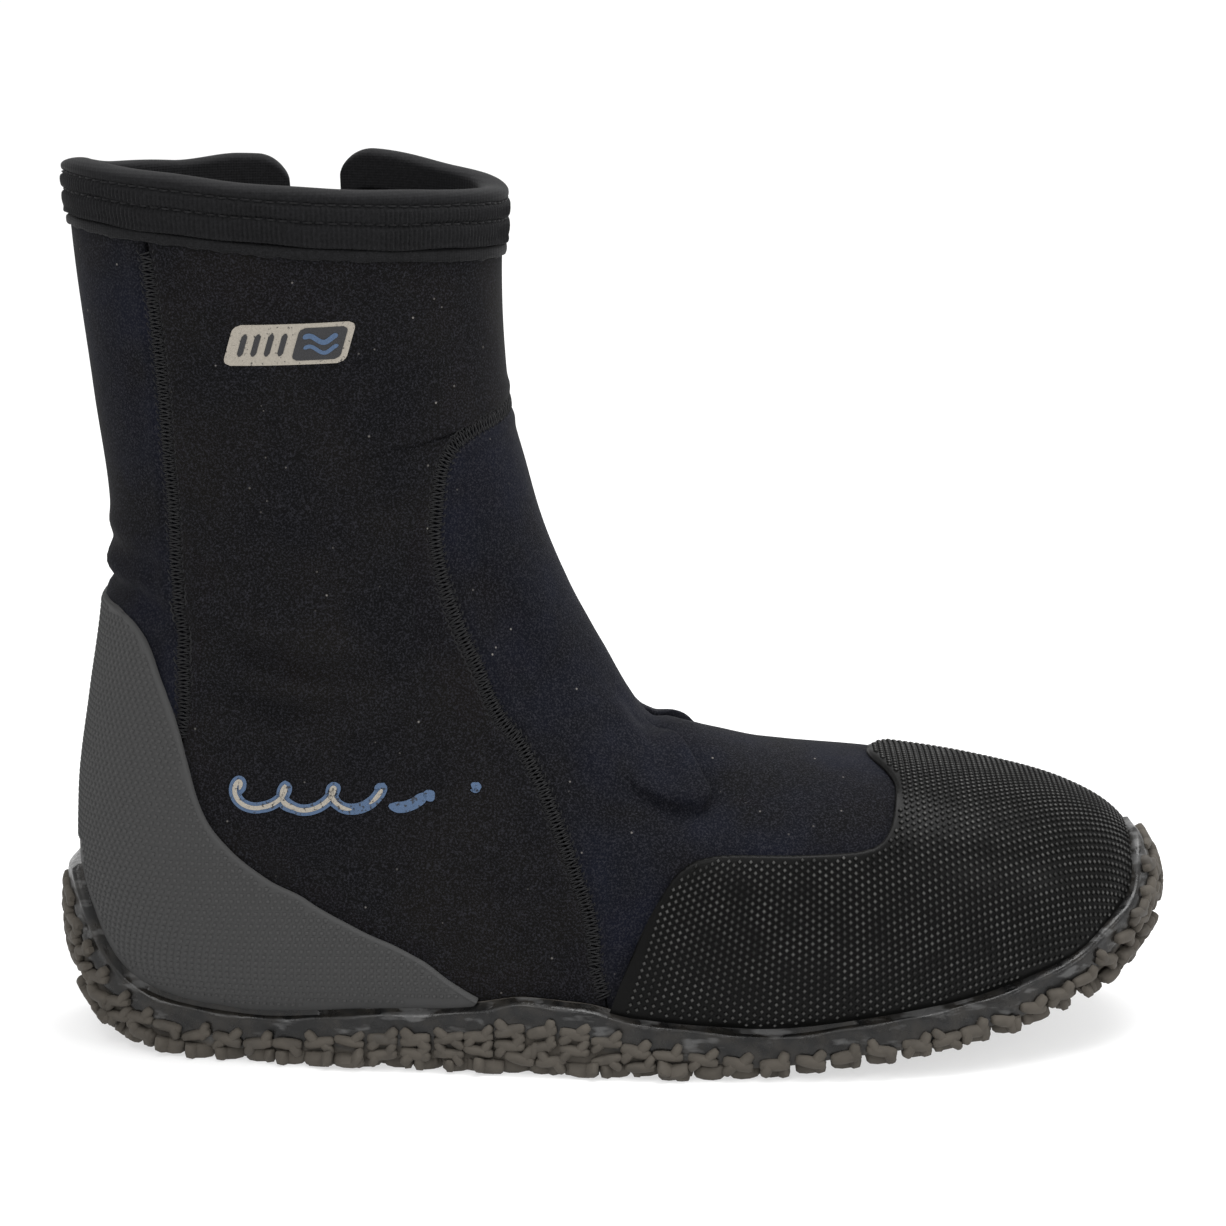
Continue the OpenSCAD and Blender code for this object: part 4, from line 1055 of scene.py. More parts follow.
PLATE_T, WALL_T, LUG_H, SOLE_FLARE, SOLE_GAP = 5.0, 3.4, 3.0, 1.0, 0.6
TOE_SPREAD, FLAT_SHARE = 62.0, 0.625
rocker = smooth([(-147, 16), (-141, 7), (-132, 3), (-120, 1), (-108, 0), (38, 0), (60, 2.5), (77, 4.5),
                 (93, 7.4), (109, 10.5), (125, 15), (141, 25), (148, 34)])
SOLE_ROWS = np.array(
    [(-0.86, 0.86, 160, -1.6, 0), (-0.6, 0.87, 138, -0.8, 0), (-0.3, 0.93, 114, 0, 0),
     (0, 1.1, 98, 0.6, 0), (0.45, 1.4, 88.5, 0.2, 0), (0.95, 1.7, 80, -0.8, 0.2),
     (1.5, 2.1, 69.5, -1, 0.5), (2.1, 2.6, 64.5, -1, 0.8), (2.8, 3.1, 61.5, 0, 1)]
    + [(x, x, float(sole_curve(x)), 1, 1) for x in (3.6, 4.3, 5, 5.7, 6.2, 6.6, 7, 7.4, 7.8, 8.2, 8.6, 8.95)]
    + [(9.3, 9.3, 41.5, 2.5, 1), (9.65, 9.65, 37, 4, 1), (10, 10, 33, 5.5, 0.8),
       (10.4, 10.4, 29, 5, 0.4), (10.85, 10.85, 25, 3, 0.1), (HEEL_TAB, HEEL_TAB, 18, 0, 0)])
sole_columns = [smooth(list(enumerate(column))) for column in SOLE_ROWS.T]
TOE_ROWS = 8


def sole_place(q, f):
    """Section and angle under a place of the sole: q counts its rows, f runs across."""
    centre, tip_s, tip_a = (sole_columns[k](q) for k in range(3))
    spread = np.radians(TOE_SPREAD)
    h = (np.cos(spread * f) - np.cos(spread)) / (1 - np.cos(spread))
    a = np.radians(tip_a)
    u = mix(tip_s * np.cos(a), centre, h)
    v = tip_s * np.sin(a) * np.sin(spread * f) / np.sin(spread)
    w = np.clip(q - TOE_ROWS, 0, 1)
    return mix(np.hypot(u, v), tip_s, w), mix(np.degrees(np.arctan2(v, u)), tip_a * f, w)


def sole_outside(q, f):
    """The outsole's outer face, before its corners are rounded."""
    s, t = sole_place(q, f)
    thick = mix(PLATE_T + sole_columns[3](q), WALL_T + SOLE_GAP, f**2)
    round_p = skin(s, t) + outward(s, t) * thick[..., None]
    side = np.where(f < 0, -1.0, 1.0)
    tip_s, tip_t = sole_place(q, side)
    top = skin(tip_s, tip_t) + outward(tip_s, tip_t) * (WALL_T + SOLE_GAP)
    centre = np.abs(sole_columns[0](q))
    mid = skin(centre, 0 * t) + outward(centre, 0 * t) * thick[..., None]
    foot = top - np.stack([0 * side, side * SOLE_FLARE, 0 * side], -1)
    foot[..., 2] = LUG_H + rocker(foot[..., 0])
    g = np.abs(f)[..., None] / FLAT_SHARE
    under = np.where(g <= 1, mix(mid, foot, g), mix(foot, top, (g - 1) / (1 / FLAT_SHARE - 1)))
    under[..., 2] = np.where(g[..., 0] <= 1, LUG_H + rocker(under[..., 0]), under[..., 2])
    p = mix(round_p, under, sole_columns[4](q)[..., None])
    floor = np.minimum(LUG_H + rocker(p[..., 0]), skin(s, t)[..., 2] - 2)
    p[..., 2] = np.maximum(p[..., 2], floor)
    return p


def softened(p, passes):
    """Rounds the corners across a grid by averaging each point with its neighbours."""
    p = p.copy()
    for _ in range(passes):
        p[:, 1:-1] = 0.5 * p[:, 1:-1] + 0.25 * (p[:, :-2] + p[:, 2:])
        p[1:-1, 1:-1] = 0.7 * p[1:-1, 1:-1] + 0.15 * (p[:-2, 1:-1] + p[2:, 1:-1])
    return p


def sole_grid():
    """The sole's outer face as a grid, with its rows, its places and its normals."""
    q = np.linspace(0, len(SOLE_ROWS) - 1, 300)[:, None]
    f = np.linspace(-1, 1, 181)[None]
    q, f = q + 0 * f, f + 0 * q
    p = softened(sole_outside(q, f), 2)
    normal = unit(np.cross(np.gradient(p, axis=1), np.gradient(p, axis=0)))
    normal = unit(mix(outward(*sole_place(q, f)), normal, np.clip(q / 0.6, 0, 1)[..., None]))
    return q, f, p, normal


def top_run(p):
    """Distance of each point of the sole's grid down from its top edge."""
    return edge_run(p, ("low", "high", "start", "end"))


def make_outsole():
    """The outsole: a cup with a smooth uneven edge that carries the lugs."""
    q, f, p, n = sole_grid()
    run = top_run(p)
    x, y, z = np.moveaxis(p, -1, 0)
    uneven = 0.5 * np.sin(x / 3.1 + 2 * np.sin(y / 9) + z / 4) * np.exp(-((run - 3.4) / 2.6)**2)
    uneven += 0.25 * np.sin(x / 7 + y / 5) - eased(run, 1.6)
    uneven -= 0.5 * np.clip((run - 6) / 3, 0, 1)
    outer = p + n * uneven[..., None]
    s, t = sole_place(q, f)
    inner = skin(s, t) + outward(s, t) * SOLE_GAP
    points, faces, used = shell(outer, inner)
    marks = np.concatenate([run.reshape(-1), np.full(run.size, 9.0)])[used]
    rubber = sole_material("sole_rubber", tone("sole"), tone("dust"))
    Stock().add(points, faces.tolist(), marks).piece("outsole_rubber", "sole_rubber", rubber, ["outsole"])


WALL_LUG = 1.8
WALL_ROWS = (7.4, 11.2, 15.0, 18.6)
UNDER_FROM = 20.0
UNDER_ROW = 5.1
DROP_MOST = 2.4
# A lug's width, its greatest tilt, its arms' angles and how often it has a second arm.
LUG_WIDE, LUG_TILT, LUG_ARM, SECOND_ARM = 3.1, 16, (48, 70), 0.7


def lug_rows(p, n, run, pitch):
    """Grid places of the lugs: rows round the walls, then a staggered field underneath."""
    places = []
    for k, level in enumerate(WALL_ROWS):
        i, j = np.nonzero(np.abs(run - level) < 0.45)
        place = p[i, j]
        order = np.argsort(np.arctan2(place[:, 1] * 3, place[:, 0] + (k % 2) * 0.5 * pitch))
        last = None
        for m in order:
            if last is None or np.linalg.norm(place[m] - last) >= pitch:
                places.append((i[m], j[m]))
                last = place[m]
    i, j = np.nonzero((run > UNDER_FROM) & (n[..., 2] < -0.7))
    flat = p[i, j, :2]
    for k, y in enumerate(np.arange(-51, 51, UNDER_ROW)):
        for x in np.arange(-140 + (k % 2) * pitch / 2, 140, pitch):
            dist = np.hypot(*(flat - (x, y)).T)
            m = int(dist.argmin())
            if dist[m] < 0.9:
                places.append((i[m], j[m]))
    return places


def make_tread():
    """The lugs: thick rounded bars that branch and link over the sole and its walls."""
    chance = random.Random(sizes().seed)
    _, _, p, n = sole_grid()
    run = top_run(p)
    pitch = sizes().lug_pitch / MM
    stock = Stock()
    for i, j in lug_rows(p, n, run, pitch):
        normal, place = n[i, j], p[i, j]
        down = max(0.0, -normal[2])
        height = mix(WALL_LUG, LUG_H + 0.05, min(1.0, down * 1.4)) * chance.uniform(0.88, 1.06)
        level = np.cross((0, 0, 1), normal)
        along = unit(level) if np.linalg.norm(level) > 0.3 else np.array([1.0, 0, 0])
        along = unit(along - normal * (along @ normal))
        across = np.cross(normal, along)
        flip = 1 if chance.random() < 0.5 else -1
        tilt = math.radians(chance.uniform(-LUG_TILT, LUG_TILT))
        wide = LUG_WIDE * chance.uniform(0.9, 1.12)
        arm = math.radians(chance.uniform(*LUG_ARM)) * flip
        bars = [(0, 0, tilt, 1.02, 1.0), (0.26, 0.14 * flip, tilt + arm, 0.6, 0.9)]
        if chance.random() < SECOND_ARM:
            bars.append((-0.26, -0.14 * flip, tilt + arm, 0.58, 0.9))
        clear = place[2] - height - float(rocker(place[0])) if down > 0.35 else 0
        place = place - np.array([0, 0, min(max(clear, 0), DROP_MOST)])
        for x0, y0, turn, length, thin in bars:
            points, faces = pill(length * pitch, wide * thin, height * mix(0.9, 1, thin), 1.2)
            c, d = math.cos(turn), math.sin(turn)
            x, y, z = points.T
            world = (place + along * (x * c - y * d + x0 * pitch)[:, None]
                     + across * (x * d + y * c + y0 * pitch)[:, None] + normal * z[:, None])
            world[:, 2] = np.maximum(world[:, 2], 0.0)
            stock.add(world, faces, run[i, j] + 3)
    rubber = sole_material("tread_rubber", tone("sole"), tone("dust"))
    stock.piece("tread_lugs", "tread_rubber", rubber, ["tread"], angle=60)


# ---- The collar ----

BINDING_T = 1.1
BINDING_IN = 8.0
GROOVES = (1.4, 5.8)


def collar_range():
    """The angles between which the collar runs, from one side of the zip to the other."""
    return float(behind_zip(TOP)) + 0.5, float(before_zip(TOP)) - 0.5


def even_collar(step):
    """Angles evenly spaced round the collar by distance."""
    low, high = collar_range()
    t = np.linspace(low, high, 2000)
    run = distance_along(plain_skin(TOP, t))
    return np.interp(np.arange(0, run[-1], step), run, t), np.arange(0, run[-1], step)


def depth_section(t, depth):
    """The section that lies a depth below the rim at angle t."""
    return TOP - depth / np.linalg.norm(plain_skin(TOP, t) - plain_skin(TOP - 1, t), axis=-1)


def collar_place(t, depth, off):
    """A place round the collar, a depth below its rim and off from the skin."""
    s = depth_section(t, depth)
    return skin(s, t) + outward(s, t) * np.asarray(off)[..., None]


def binding_off(depth, run):
    """How far the binding's face stands off the skin: ribbed bands between two grooves."""
    ribs = 0.24 * np.cos(2 * np.pi * run / (sizes().rib_pitch / MM))
    groove = sum(np.exp(-((depth - g) / 0.55)**2) for g in GROOVES)
    puff = 0.35 * np.abs(np.sin(np.pi * np.clip(depth - GROOVES[0], 0, 20) / (GROOVES[1] - GROOVES[0])))
    on_band = np.clip((depth - GROOVES[0] - 0.4) / 0.4, 0, 1)
    foot = eased(np.maximum(sizes().binding / MM - depth, 0), 0.9)
    return BOND + BINDING_T + puff * np.clip(on_band + 0.4, 0, 1) + ribs * on_band - 0.75 * groove - foot


def make_binding():
    """The knitted binding folded over the rim, with ribs and two sewn grooves."""
    t, run = even_collar(0.31)
    deep = sizes().binding / MM
    outer_depth = np.concatenate([np.linspace(deep, deep - 0.9, 4), np.linspace(deep - 1.2, 0.25, 38)])
    wobble = 0.2 * np.sin(run / 9) + 0.15 * np.sin(run / 3.7)
    columns_out, columns_in = [], []
    for depth in outer_depth:
        uneven = depth + wobble * (depth > 3)
        columns_out.append(collar_place(t, uneven, binding_off(depth, run)))
        columns_in.append(collar_place(t, uneven, np.full(t.shape, BOND)))
    centre = skin(np.full(t.shape, float(TOP)), t)
    normal = outward(np.full(t.shape, float(TOP)), t)
    up = unit(skin(np.full(t.shape, float(TOP)), t) - skin(np.full(t.shape, TOP - 0.1), t))
    half = (FOAM + 2 * (BOND + BINDING_T)) / 2
    middle = centre - normal * (FOAM / 2)
    for angle in np.linspace(0, np.pi, 15):
        c, d = np.cos(angle), np.sin(angle)
        roll = 1.9 + 0.12 * np.sin(run / 5.0)
        columns_out.append(middle + normal * half * c + up * (d**0.8 * roll)[:, None])
        columns_in.append(middle + normal * (FOAM / 2 + BOND) * c + up * (d * BOND))
    for depth in np.linspace(0.6, BINDING_IN, 14):
        edge = eased(np.full(t.shape, BINDING_IN - depth), 0.8)
        columns_out.append(collar_place(t, np.full(t.shape, depth), -FOAM - BOND - BINDING_T + edge))
        columns_in.append(collar_place(t, np.full(t.shape, depth), np.full(t.shape, -FOAM - BOND)))
    outer = np.stack(columns_out, 1)[::-1]
    inner = np.stack(columns_in, 1)[::-1]
    points, faces, _ = shell(outer, inner)
    tape = tape_material("binding_knit", tone("binding"), 0.7)
    obj = Stock().add(points, faces.tolist()).piece("binding_tape", "binding_tape", tape, ["collar_binding"],
                                                   angle=70)


def make_welt():
    """The flat welt under the binding, with a slightly ragged lower edge."""
    t, run = even_collar(1.0)
    chance = random.Random(sizes().seed + 1)
    ragged = np.convolve([chance.uniform(-0.5, 0.5) for _ in run], np.ones(3) / 3, "same")
    deep = sizes().binding / MM
    outer, inner = [], []
    for f in np.linspace(0, 1, 9):
        depth = deep + 0.2 + f * (2.8 + ragged)
        lift = 0.95 * np.sqrt(np.maximum(1 - abs(2 * f - 1)**3, 0.05))
        outer.append(collar_place(t, depth, BOND + lift + 0.08 * np.sin(run / 2.2)))
        inner.append(collar_place(t, depth, np.full(t.shape, 0.05)))
    points, faces, _ = shell(np.stack(outer, 1), np.stack(inner, 1))
    tape = tape_material("welt_knit", tone("binding"), 0.6)
    obj = Stock().add(points, faces.tolist()).piece("welt_tape", "welt_tape", tape, ["collar_welt"])


def make_binding_stitches():
    """Two lines of short stitches sunk in the binding's grooves."""
    chance = random.Random(sizes().seed + 2)
    thread = thread_material("binding_thread", tone("thread"))
    stock = Stock()
    t, _ = even_collar(3.1)
    for depth in GROOVES:
        for k in range(len(t) - 1):
            span = np.linspace(t[k], mix(t[k], t[k + 1], 0.74), 6)
            dip = np.array([-0.35, 0.1, 0.22, 0.22, 0.1, -0.35])
            level = depth + chance.uniform(-0.12, 0.12)
            path = collar_place(span, np.full(6, level), BOND + BINDING_T - 0.5 + dip)
            points, faces = tube(path, outward(np.full(6, TOP - 0.2), span), 0.26)
            stock.add(points, faces)
    stock.piece("binding_stitches", "thread", thread, ["binding_stitching"])


# ---- Seams ----

SEAM_HALF = 2.3


def sew(stock, route, half_width, pitch, radius, chance):
    """A flat overlocked seam: two crossing zigzags and a looped thread on each edge."""
    step = route.step
    level, shift = relief(route.place, *route.st.T)
    base = route.place + shift
    run = np.arange(len(route)) * step
    count = int(run[-1] / pitch)
    for phase in (0.0, 0.5):
        corners_u, corners_w = [], []
        for k in range(count):
            jitter = chance.uniform(-0.18, 0.18)
            corners_u += [(k + phase + 0.06) * pitch + jitter, (k + phase + 0.5) * pitch + jitter]
            corners_w += [-half_width * chance.uniform(0.85, 1.08), half_width * chance.uniform(0.85, 1.08)]
        u = np.interp(np.arange(0, len(corners_u) - 1, 0.2), np.arange(len(corners_u)), corners_u)
        w = np.interp(np.arange(0, len(corners_w) - 1, 0.2), np.arange(len(corners_w)), corners_w)
        at = np.clip(u / step, 0, len(route) - 1)
        pick = [np.stack([np.interp(at, np.arange(len(route)), field[:, c]) for c in range(3)], -1)
                for field in (base, route.normal, route.side)]
        lift = np.interp(at, np.arange(len(route)), level)
        arch = 0.62 + 0.3 * phase - 0.45 * np.abs(w / half_width)**3
        path = pick[0] + pick[2] * w[:, None] + pick[1] * (lift + arch)[:, None]
        stock.add(*tube(path, pick[1], radius))
    for side in (-1, 1):
        loop = side * half_width * (1 + 0.1 * np.sin(2 * np.pi * run / pitch))
        bob = 0.25 + 0.16 * np.sin(2 * np.pi * run / pitch + 1)
        path = base + route.side * loop[:, None] + route.normal * (level + bob + 0.2)[:, None]
        stock.add(*tube(path, route.normal, radius * 1.25))


def make_seams():
    """The sewn seams of the upper."""
    thread = thread_material("seam_thread", tone("thread"))
    pitch = sizes().stitch_pitch / MM
    for name, route, node in (("outer_rear_stitches", outer_rear_route, "outer_rear_seam"),
                              ("inner_rear_stitches", inner_rear_route, "inner_rear_seam"),
                              ("vamp_stitches", front_route, "vamp_seam")):
        chance = random.Random(sizes().seed + len(name))
        stock = Stock()
        sew(stock, route, SEAM_HALF, pitch, 0.24, chance)
        stock.piece(name, "thread", thread, [node])


# ---- The zip ----

TAPE_INSET, TAPE_W, TAPE_T = 2.5, 13.0, 0.8
TAPE_DEPTH = FOAM + BOND
CHAIN_Y = -(TAPE_DEPTH + TAPE_T / 2 + 0.7)
TOOTH_PITCH, TOOTH_T, CHAIN_W, CHAIN_SLOT, TEETH = 3.6, 3.6, 9.0, 0.75, 40
FIRST_TOOTH, STOP_H = 7.5, 3.0
TOOTH_DEPTHS = (CHAIN_Y - TOOTH_T / 2, CHAIN_Y + TOOTH_T / 2)
SLIDER_H, SLIDER_HALF, SLIDER_IN, SLIDER_WALL = 14.0, 6.4, 2.8, 1.4
SLIDER_REST = FIRST_TOOTH + SLIDER_H / 2
PIN_D = 1.4
PIN_Y = CHAIN_Y + SLIDER_IN + SLIDER_WALL + PIN_D * 1.4
COLLAR_ZIP = 265.0


def on_zip(points, down):
    """Moves points to a place down the zip's line: x forward, y outward, z up it."""
    points = np.asarray(points, float)
    return (zip_top - down * zip_up + points[:, :1] * zip_fore + points[:, 1:2] * zip_out
            + points[:, 2:] * zip_up)


def zip_strip(low_s, high_s, near, far, top_depth, thick, columns, ripple=0.0):
    """A strip beside the zip's line, between two distances in front of it."""
    rows = np.linspace(low_s, high_s, 150)
    a, b = zip_angle(rows, near), zip_angle(rows, far)
    f = np.linspace(0, 1, columns)
    t = mix(np.maximum(a, b)[:, None], np.minimum(a, b)[:, None], f[::-1])
    s = np.repeat(rows[:, None], columns, 1)
    p, n = plain_skin(s, t), outward(s, t)
    wave = ripple * np.sin(f * 2 * np.pi * 3)[None] + 0 * s
    return shell(p - n * (top_depth - wave)[..., None], p - n * (top_depth + thick))[:2]


def make_zip_tapes():
    """The two woven tapes that the teeth are moulded on."""
    weave = tape_material("zip_weave", (0.012, 0.012, 0.013), 0.6)
    high = float(depth_section(COLLAR_ZIP, 14.5))
    for name, side, node in (("zip_web_front", 1, "zip_tape_front"), ("zip_web_rear", -1, "zip_tape_rear")):
        points, faces = zip_strip(ZIP_END_S + 0.05, high, side * TAPE_INSET, side * (TAPE_INSET + TAPE_W),
                                  TAPE_DEPTH, TAPE_T, 27, 0.08)
        obj = Stock().add(points, faces.tolist()).piece(name, "zip_tape", weave, [node])


def make_zip_flap():
    """The thin flap that keeps water out behind the zip."""
    cloth_face = knit_material("flap_knit", tone("neoprene"), tone("navy"), 0.3)
    depth = -CHAIN_Y + SLIDER_IN + SLIDER_WALL + 1.5
    high = float(depth_section(COLLAR_ZIP, BINDING_IN + 3))
    points, faces = zip_strip(ZIP_END_S - 0.2, high, -24, 24, depth, 1.5, 40)
    obj = Stock().add(points, faces.tolist()).piece("water_flap", "flap_fabric", cloth_face, ["zip_flap"])


def tooth_outline(side):
    """One tooth: a waisted bar with a rounded head at the chain's middle."""
    w, h = CHAIN_W / 2, TOOTH_PITCH * 0.62
    half = [(w, 0.34), (w - 0.5, 0.46), (w * 0.62, 0.4), (w * 0.42, 0.36), (w * 0.3, 0.44),
            (CHAIN_SLOT + 0.25, 0.36), (CHAIN_SLOT, 0.16)]
    outline = [(x, z * h) for x, z in half] + [(x, -z * h) for x, z in half[::-1]]
    return [(side * x, z) for x, z in outline][::side]


def make_zip_teeth():
    """The two rows of moulded teeth, with their top and bottom stops."""
    plastic = plastic_material("tooth_plastic", tone("plastic"))
    for name, side, node in (("teeth_front", 1, "zip_teeth_front"), ("teeth_rear", -1, "zip_teeth_rear")):
        stock = Stock()
        for k in range(TEETH):
            down = FIRST_TOOTH + k * TOOTH_PITCH + (TOOTH_PITCH / 2 if side < 0 else 0)
            points, faces = slab(tooth_outline(side), *TOOTH_DEPTHS, 0.22)
            stock.add(on_zip(points, down), faces)
        stock.piece(name, "zip_plastic", plastic, [node], angle=35)
    stops = Stock()
    for side in (-1, 1):
        box = [(1.3, -1.4), (1.8, -1.5), (4.2, -1.5), (4.5, -1.2),
               (4.5, 1.2), (4.2, 1.5), (1.8, 1.5), (1.3, 1.4)]
        points, faces = slab([(side * x, z) for x, z in box], *TOOTH_DEPTHS, 0.3)
        stops.add(on_zip(points, 3.0 + STOP_H / 2), faces)
    stops.piece("top_stops", "zip_plastic", plastic, ["zip_top_stops"], angle=35)
    box = [(-4.5, -1), (-4, -1.5), (4, -1.5), (4.5, -1), (4.5, 1), (4, 1.5), (-4, 1.5), (-4.5, 1)]
    points, faces = slab(box, *TOOTH_DEPTHS, 0.35)
    Stock().add(on_zip(points, zip_length - STOP_H), faces).piece(
        "bottom_stop", "zip_plastic", plastic, ["zip_bottom_stop"], angle=35)


def make_zip_stitches():
    """A line of lockstitch beside each edge of the zip's gap."""
    thread = thread_material("zip_thread", tone("thread"))
    stock = Stock()
    high = float(depth_section(COLLAR_ZIP, 19))
    rows = np.linspace(ZIP_END_S - 0.1, high, 300)
    for side in (-1, 1):
        t = zip_angle(rows, np.full(rows.shape, side * (ZIP_GAP / 2 + 3.0)))
        line = Route(list(zip(rows, t)), 0.5)
        level, shift = relief(line.place, *line.st.T)
        for start in range(0, len(line) - 6, 6):
            part = slice(start, start + 5)
            dip = np.array([-0.25, 0.15, 0.25, 0.15, -0.25])
            path = (line.place + shift)[part] + line.normal[part] * (level[part] + dip)[:, None]
            stock.add(*tube(path, line.normal[part], 0.25))
    stock.piece("zip_stitches", "thread", thread, ["zip_stitching"])


def arc(cx, cz, radius, start, end, count):
    """Points of an arc, from one angle in degrees to another."""
    angles = np.radians(np.linspace(start, end, count))
    return [(cx + radius * math.cos(a), cz + radius * math.sin(a)) for a in angles]


def ring_bar(x_low, x_high, y, z, outer, inner, count=28):
    """A short round eye along x, with a hole of radius inner, or solid if that is 0."""
    turn = np.arange(count) * 2 * np.pi / count
    bevel = min(0.18, (outer - inner) / 3)
    profile = [(x_low, inner), (x_low, outer - bevel), (x_low + bevel, outer), (x_high - bevel, outer),
               (x_high, outer - bevel), (x_high, inner)]
    points = [(x, y + r * math.cos(a), z + r * math.sin(a)) for x, r in profile for a in turn]
    n = len(profile)
    faces = [[k * count + j, k * count + (j + 1) % count, (k + 1) % n * count + (j + 1) % count,
              (k + 1) % n * count + j] for k in range(n if inner > 0 else n - 1) for j in range(count)]
    return np.array(points), faces


def make_slider():
    """The slider: two rounded plates, a middle post, side flanges and the pull's eye."""
    plastic = plastic_material("slider_plastic", tone("plastic"))
    h, w = SLIDER_H / 2, SLIDER_HALF
    plate = ([(-w + 1.6, -h), (w - 1.6, -h)] + arc(w - 1.2, -h + 1.0, 0.9, -60, 0, 4) + [(w, 0)]
             + arc(w - 1.8, h - 1.8, 1.8, 0, 90, 6) + [(1.2, h), (0, h - 1.0), (-1.2, h)]
             + arc(-w + 1.8, h - 1.8, 1.8, 90, 180, 6) + [(-w, 0)]
             + arc(-w + 1.2, -h + 1.0, 0.9, 180, 240, 4))
    front, back = CHAIN_Y + SLIDER_IN, CHAIN_Y - SLIDER_IN
    stock = Stock()

    def add(points, faces):
        stock.add(on_zip(points, SLIDER_REST), faces)

    add(*slab(plate, front, front + SLIDER_WALL, 0.4))
    add(*slab(plate, back - SLIDER_WALL, back, 0.4))
    add(*slab([(-0.4, h - 5), (0.4, h - 5), (0.4, h - 1.5), (-0.4, h - 1.5)], back - 0.3, front + 0.3, 0.05))
    for side in (-1, 1):
        x0, x1 = (w - 0.95, w - 0.02) if side > 0 else (-w + 0.02, -w + 0.95)
        rim = [(x0, -h + 3), (x1, -h + 3), (x1, h - 3), (x0, h - 3)]
        add(*slab(rim, front - 0.6, front + 0.3, 0.15))
        add(*slab(rim, back - 0.3, back + 0.6, 0.15))
    add(*slab([(-1.2, -2.2), (1.2, -2.2), (1.2, 2.2), (-1.2, 2.2)],
              front + SLIDER_WALL - 0.3, PIN_Y - 1.0, 0.1))
    add(*ring_bar(-1.2, 1.2, PIN_Y, 0.0, PIN_D * 1.6, PIN_D / 2 + 0.25))
    stock.piece("zip_slider_body", "slider_plastic", plastic, ["zip_slider"], body="slider", angle=35)


def make_pull():
    """The pull: a pin between two cheeks and a tab with a finger hole and grip bars."""
    # This finds the frame's own plain material of that name, not the slider's recipe.
    found = bpy.data.materials.get("slider_plastic")
    plastic = found or plastic_material("slider_plastic", tone("plastic"))
    half_w, length, tab = 4.0, 24.0, 1.6
    neck, hole = PIN_D * 2.4, half_w - length
    stock = Stock()

    def add(points, faces):
        stock.add(on_zip(points, SLIDER_REST), faces)

    count = 28
    turn = np.arange(count) * 2 * np.pi / count
    rod = np.array([(x, PIN_Y + r * math.cos(a), r * math.sin(a))
                    for x, r in ((-2.9, 0.5), (-2.7, 0.7), (2.7, 0.7), (2.9, 0.5)) for a in turn])
    faces = [[k * count + j, k * count + (j + 1) % count, (k + 1) * count + (j + 1) % count,
              (k + 1) * count + j] for k in range(3) for j in range(count)]
    add(rod, faces + [list(range(count))[::-1], list(range(3 * count, 4 * count))])
    for side in (-1, 1):
        x0, x1 = (1.5, 3.0) if side > 0 else (-3.0, -1.5)
        add(*ring_bar(x0, x1, PIN_Y, 0.0, tab, 0.62))
        add(*slab([(x0, -neck - 1.2), (x1, -neck - 1.2), (x1, -0.9), (x0, -0.9)],
                  PIN_Y - tab / 2, PIN_Y + tab / 2, 0.2))
    # The tab is a band between its outer outline and its hole.
    outer = [(-half_w, -neck - 0.7), (-half_w + 0.7, -neck), (half_w - 0.7, -neck), (half_w, -neck - 0.7)]
    outer += [(half_w, z) for z in np.linspace(-neck - 2, hole + 1, 8)] + arc(0, hole, half_w, 0, -180, 25)
    outer += [(-half_w, z) for z in np.linspace(hole + 1, -neck - 2, 8)]
    outer = np.array(outer)
    bearing = np.arctan2(outer[:, 1] - hole, outer[:, 0])
    inner = np.stack([2.0 * np.cos(bearing), hole + 2.0 * np.sin(bearing)], -1)
    n = len(outer)
    toward = unit(outer - np.array([0, (hole - neck) / 2]))
    levels = [(outer - toward * 0.3, -tab / 2), (outer, -tab / 2 + 0.3), (outer, tab / 2 - 0.3),
              (outer - toward * 0.3, tab / 2), (inner, tab / 2), (inner, -tab / 2)]
    points = np.array([(x, PIN_Y + y, z) for ring, y in levels for x, z in ring])
    faces = [[k * n + j, k * n + (j + 1) % n, (k + 1) % 6 * n + (j + 1) % n, (k + 1) % 6 * n + j]
             for k in range(6) for j in range(n)]
    add(points, faces)
    for face in (-1, 1):
        for k in range(4):
            bar, bar_faces = pill(5.6, 0.9, 0.35, 0.2, 6, 6)
            x, y, z = bar.T
            add(np.stack([x, PIN_Y + face * (tab / 2 + z), -neck - 3.2 - 2.1 * k + y], -1),
                bar_faces if face > 0 else [f[::-1] for f in bar_faces])
    stock.piece("zip_pull_tab", "slider_plastic", plastic, ["zip_pull"], body="pull", angle=35)


# ---- The prints ----

def walk(s, t, v):
    """Places reached from (s, t) by going along short vectors that lie on the skin."""
    dt, ds = skin(s, t + 0.5) - skin(s, t - 0.5), (skin(s + 0.01, t) - skin(s - 0.01, t)) / 0.02
    a, b, c = (dt * dt).sum(-1), (dt * ds).sum(-1), (ds * ds).sum(-1)
    e, g = (dt * v).sum(-1), (ds * v).sum(-1)
    det = a * c - b * b
    return s + (a * g - b * e) / det, t + (c * e - b * g) / det


def print_patch(stock, route, rows, lift):
    """Adds a flat print: rows of points along and across a route, laid on the cloth."""
    local = np.array(rows, float)
    count = np.arange(len(route))
    at = np.clip(local[..., 0] / route.step + count[-1] / 2, 0, count[-1])
    s, t = (np.interp(at, count, route.st[:, k]) for k in range(2))
    side = np.stack([np.interp(at, count, route.side[:, k]) for k in range(3)], -1)
    s, t = walk(s, t, -side * local[..., 1:])
    points, faces, _ = shell(cloth(s, t, lift), cloth(s, t, lift - 0.22))
    stock.add(points, faces.tolist())


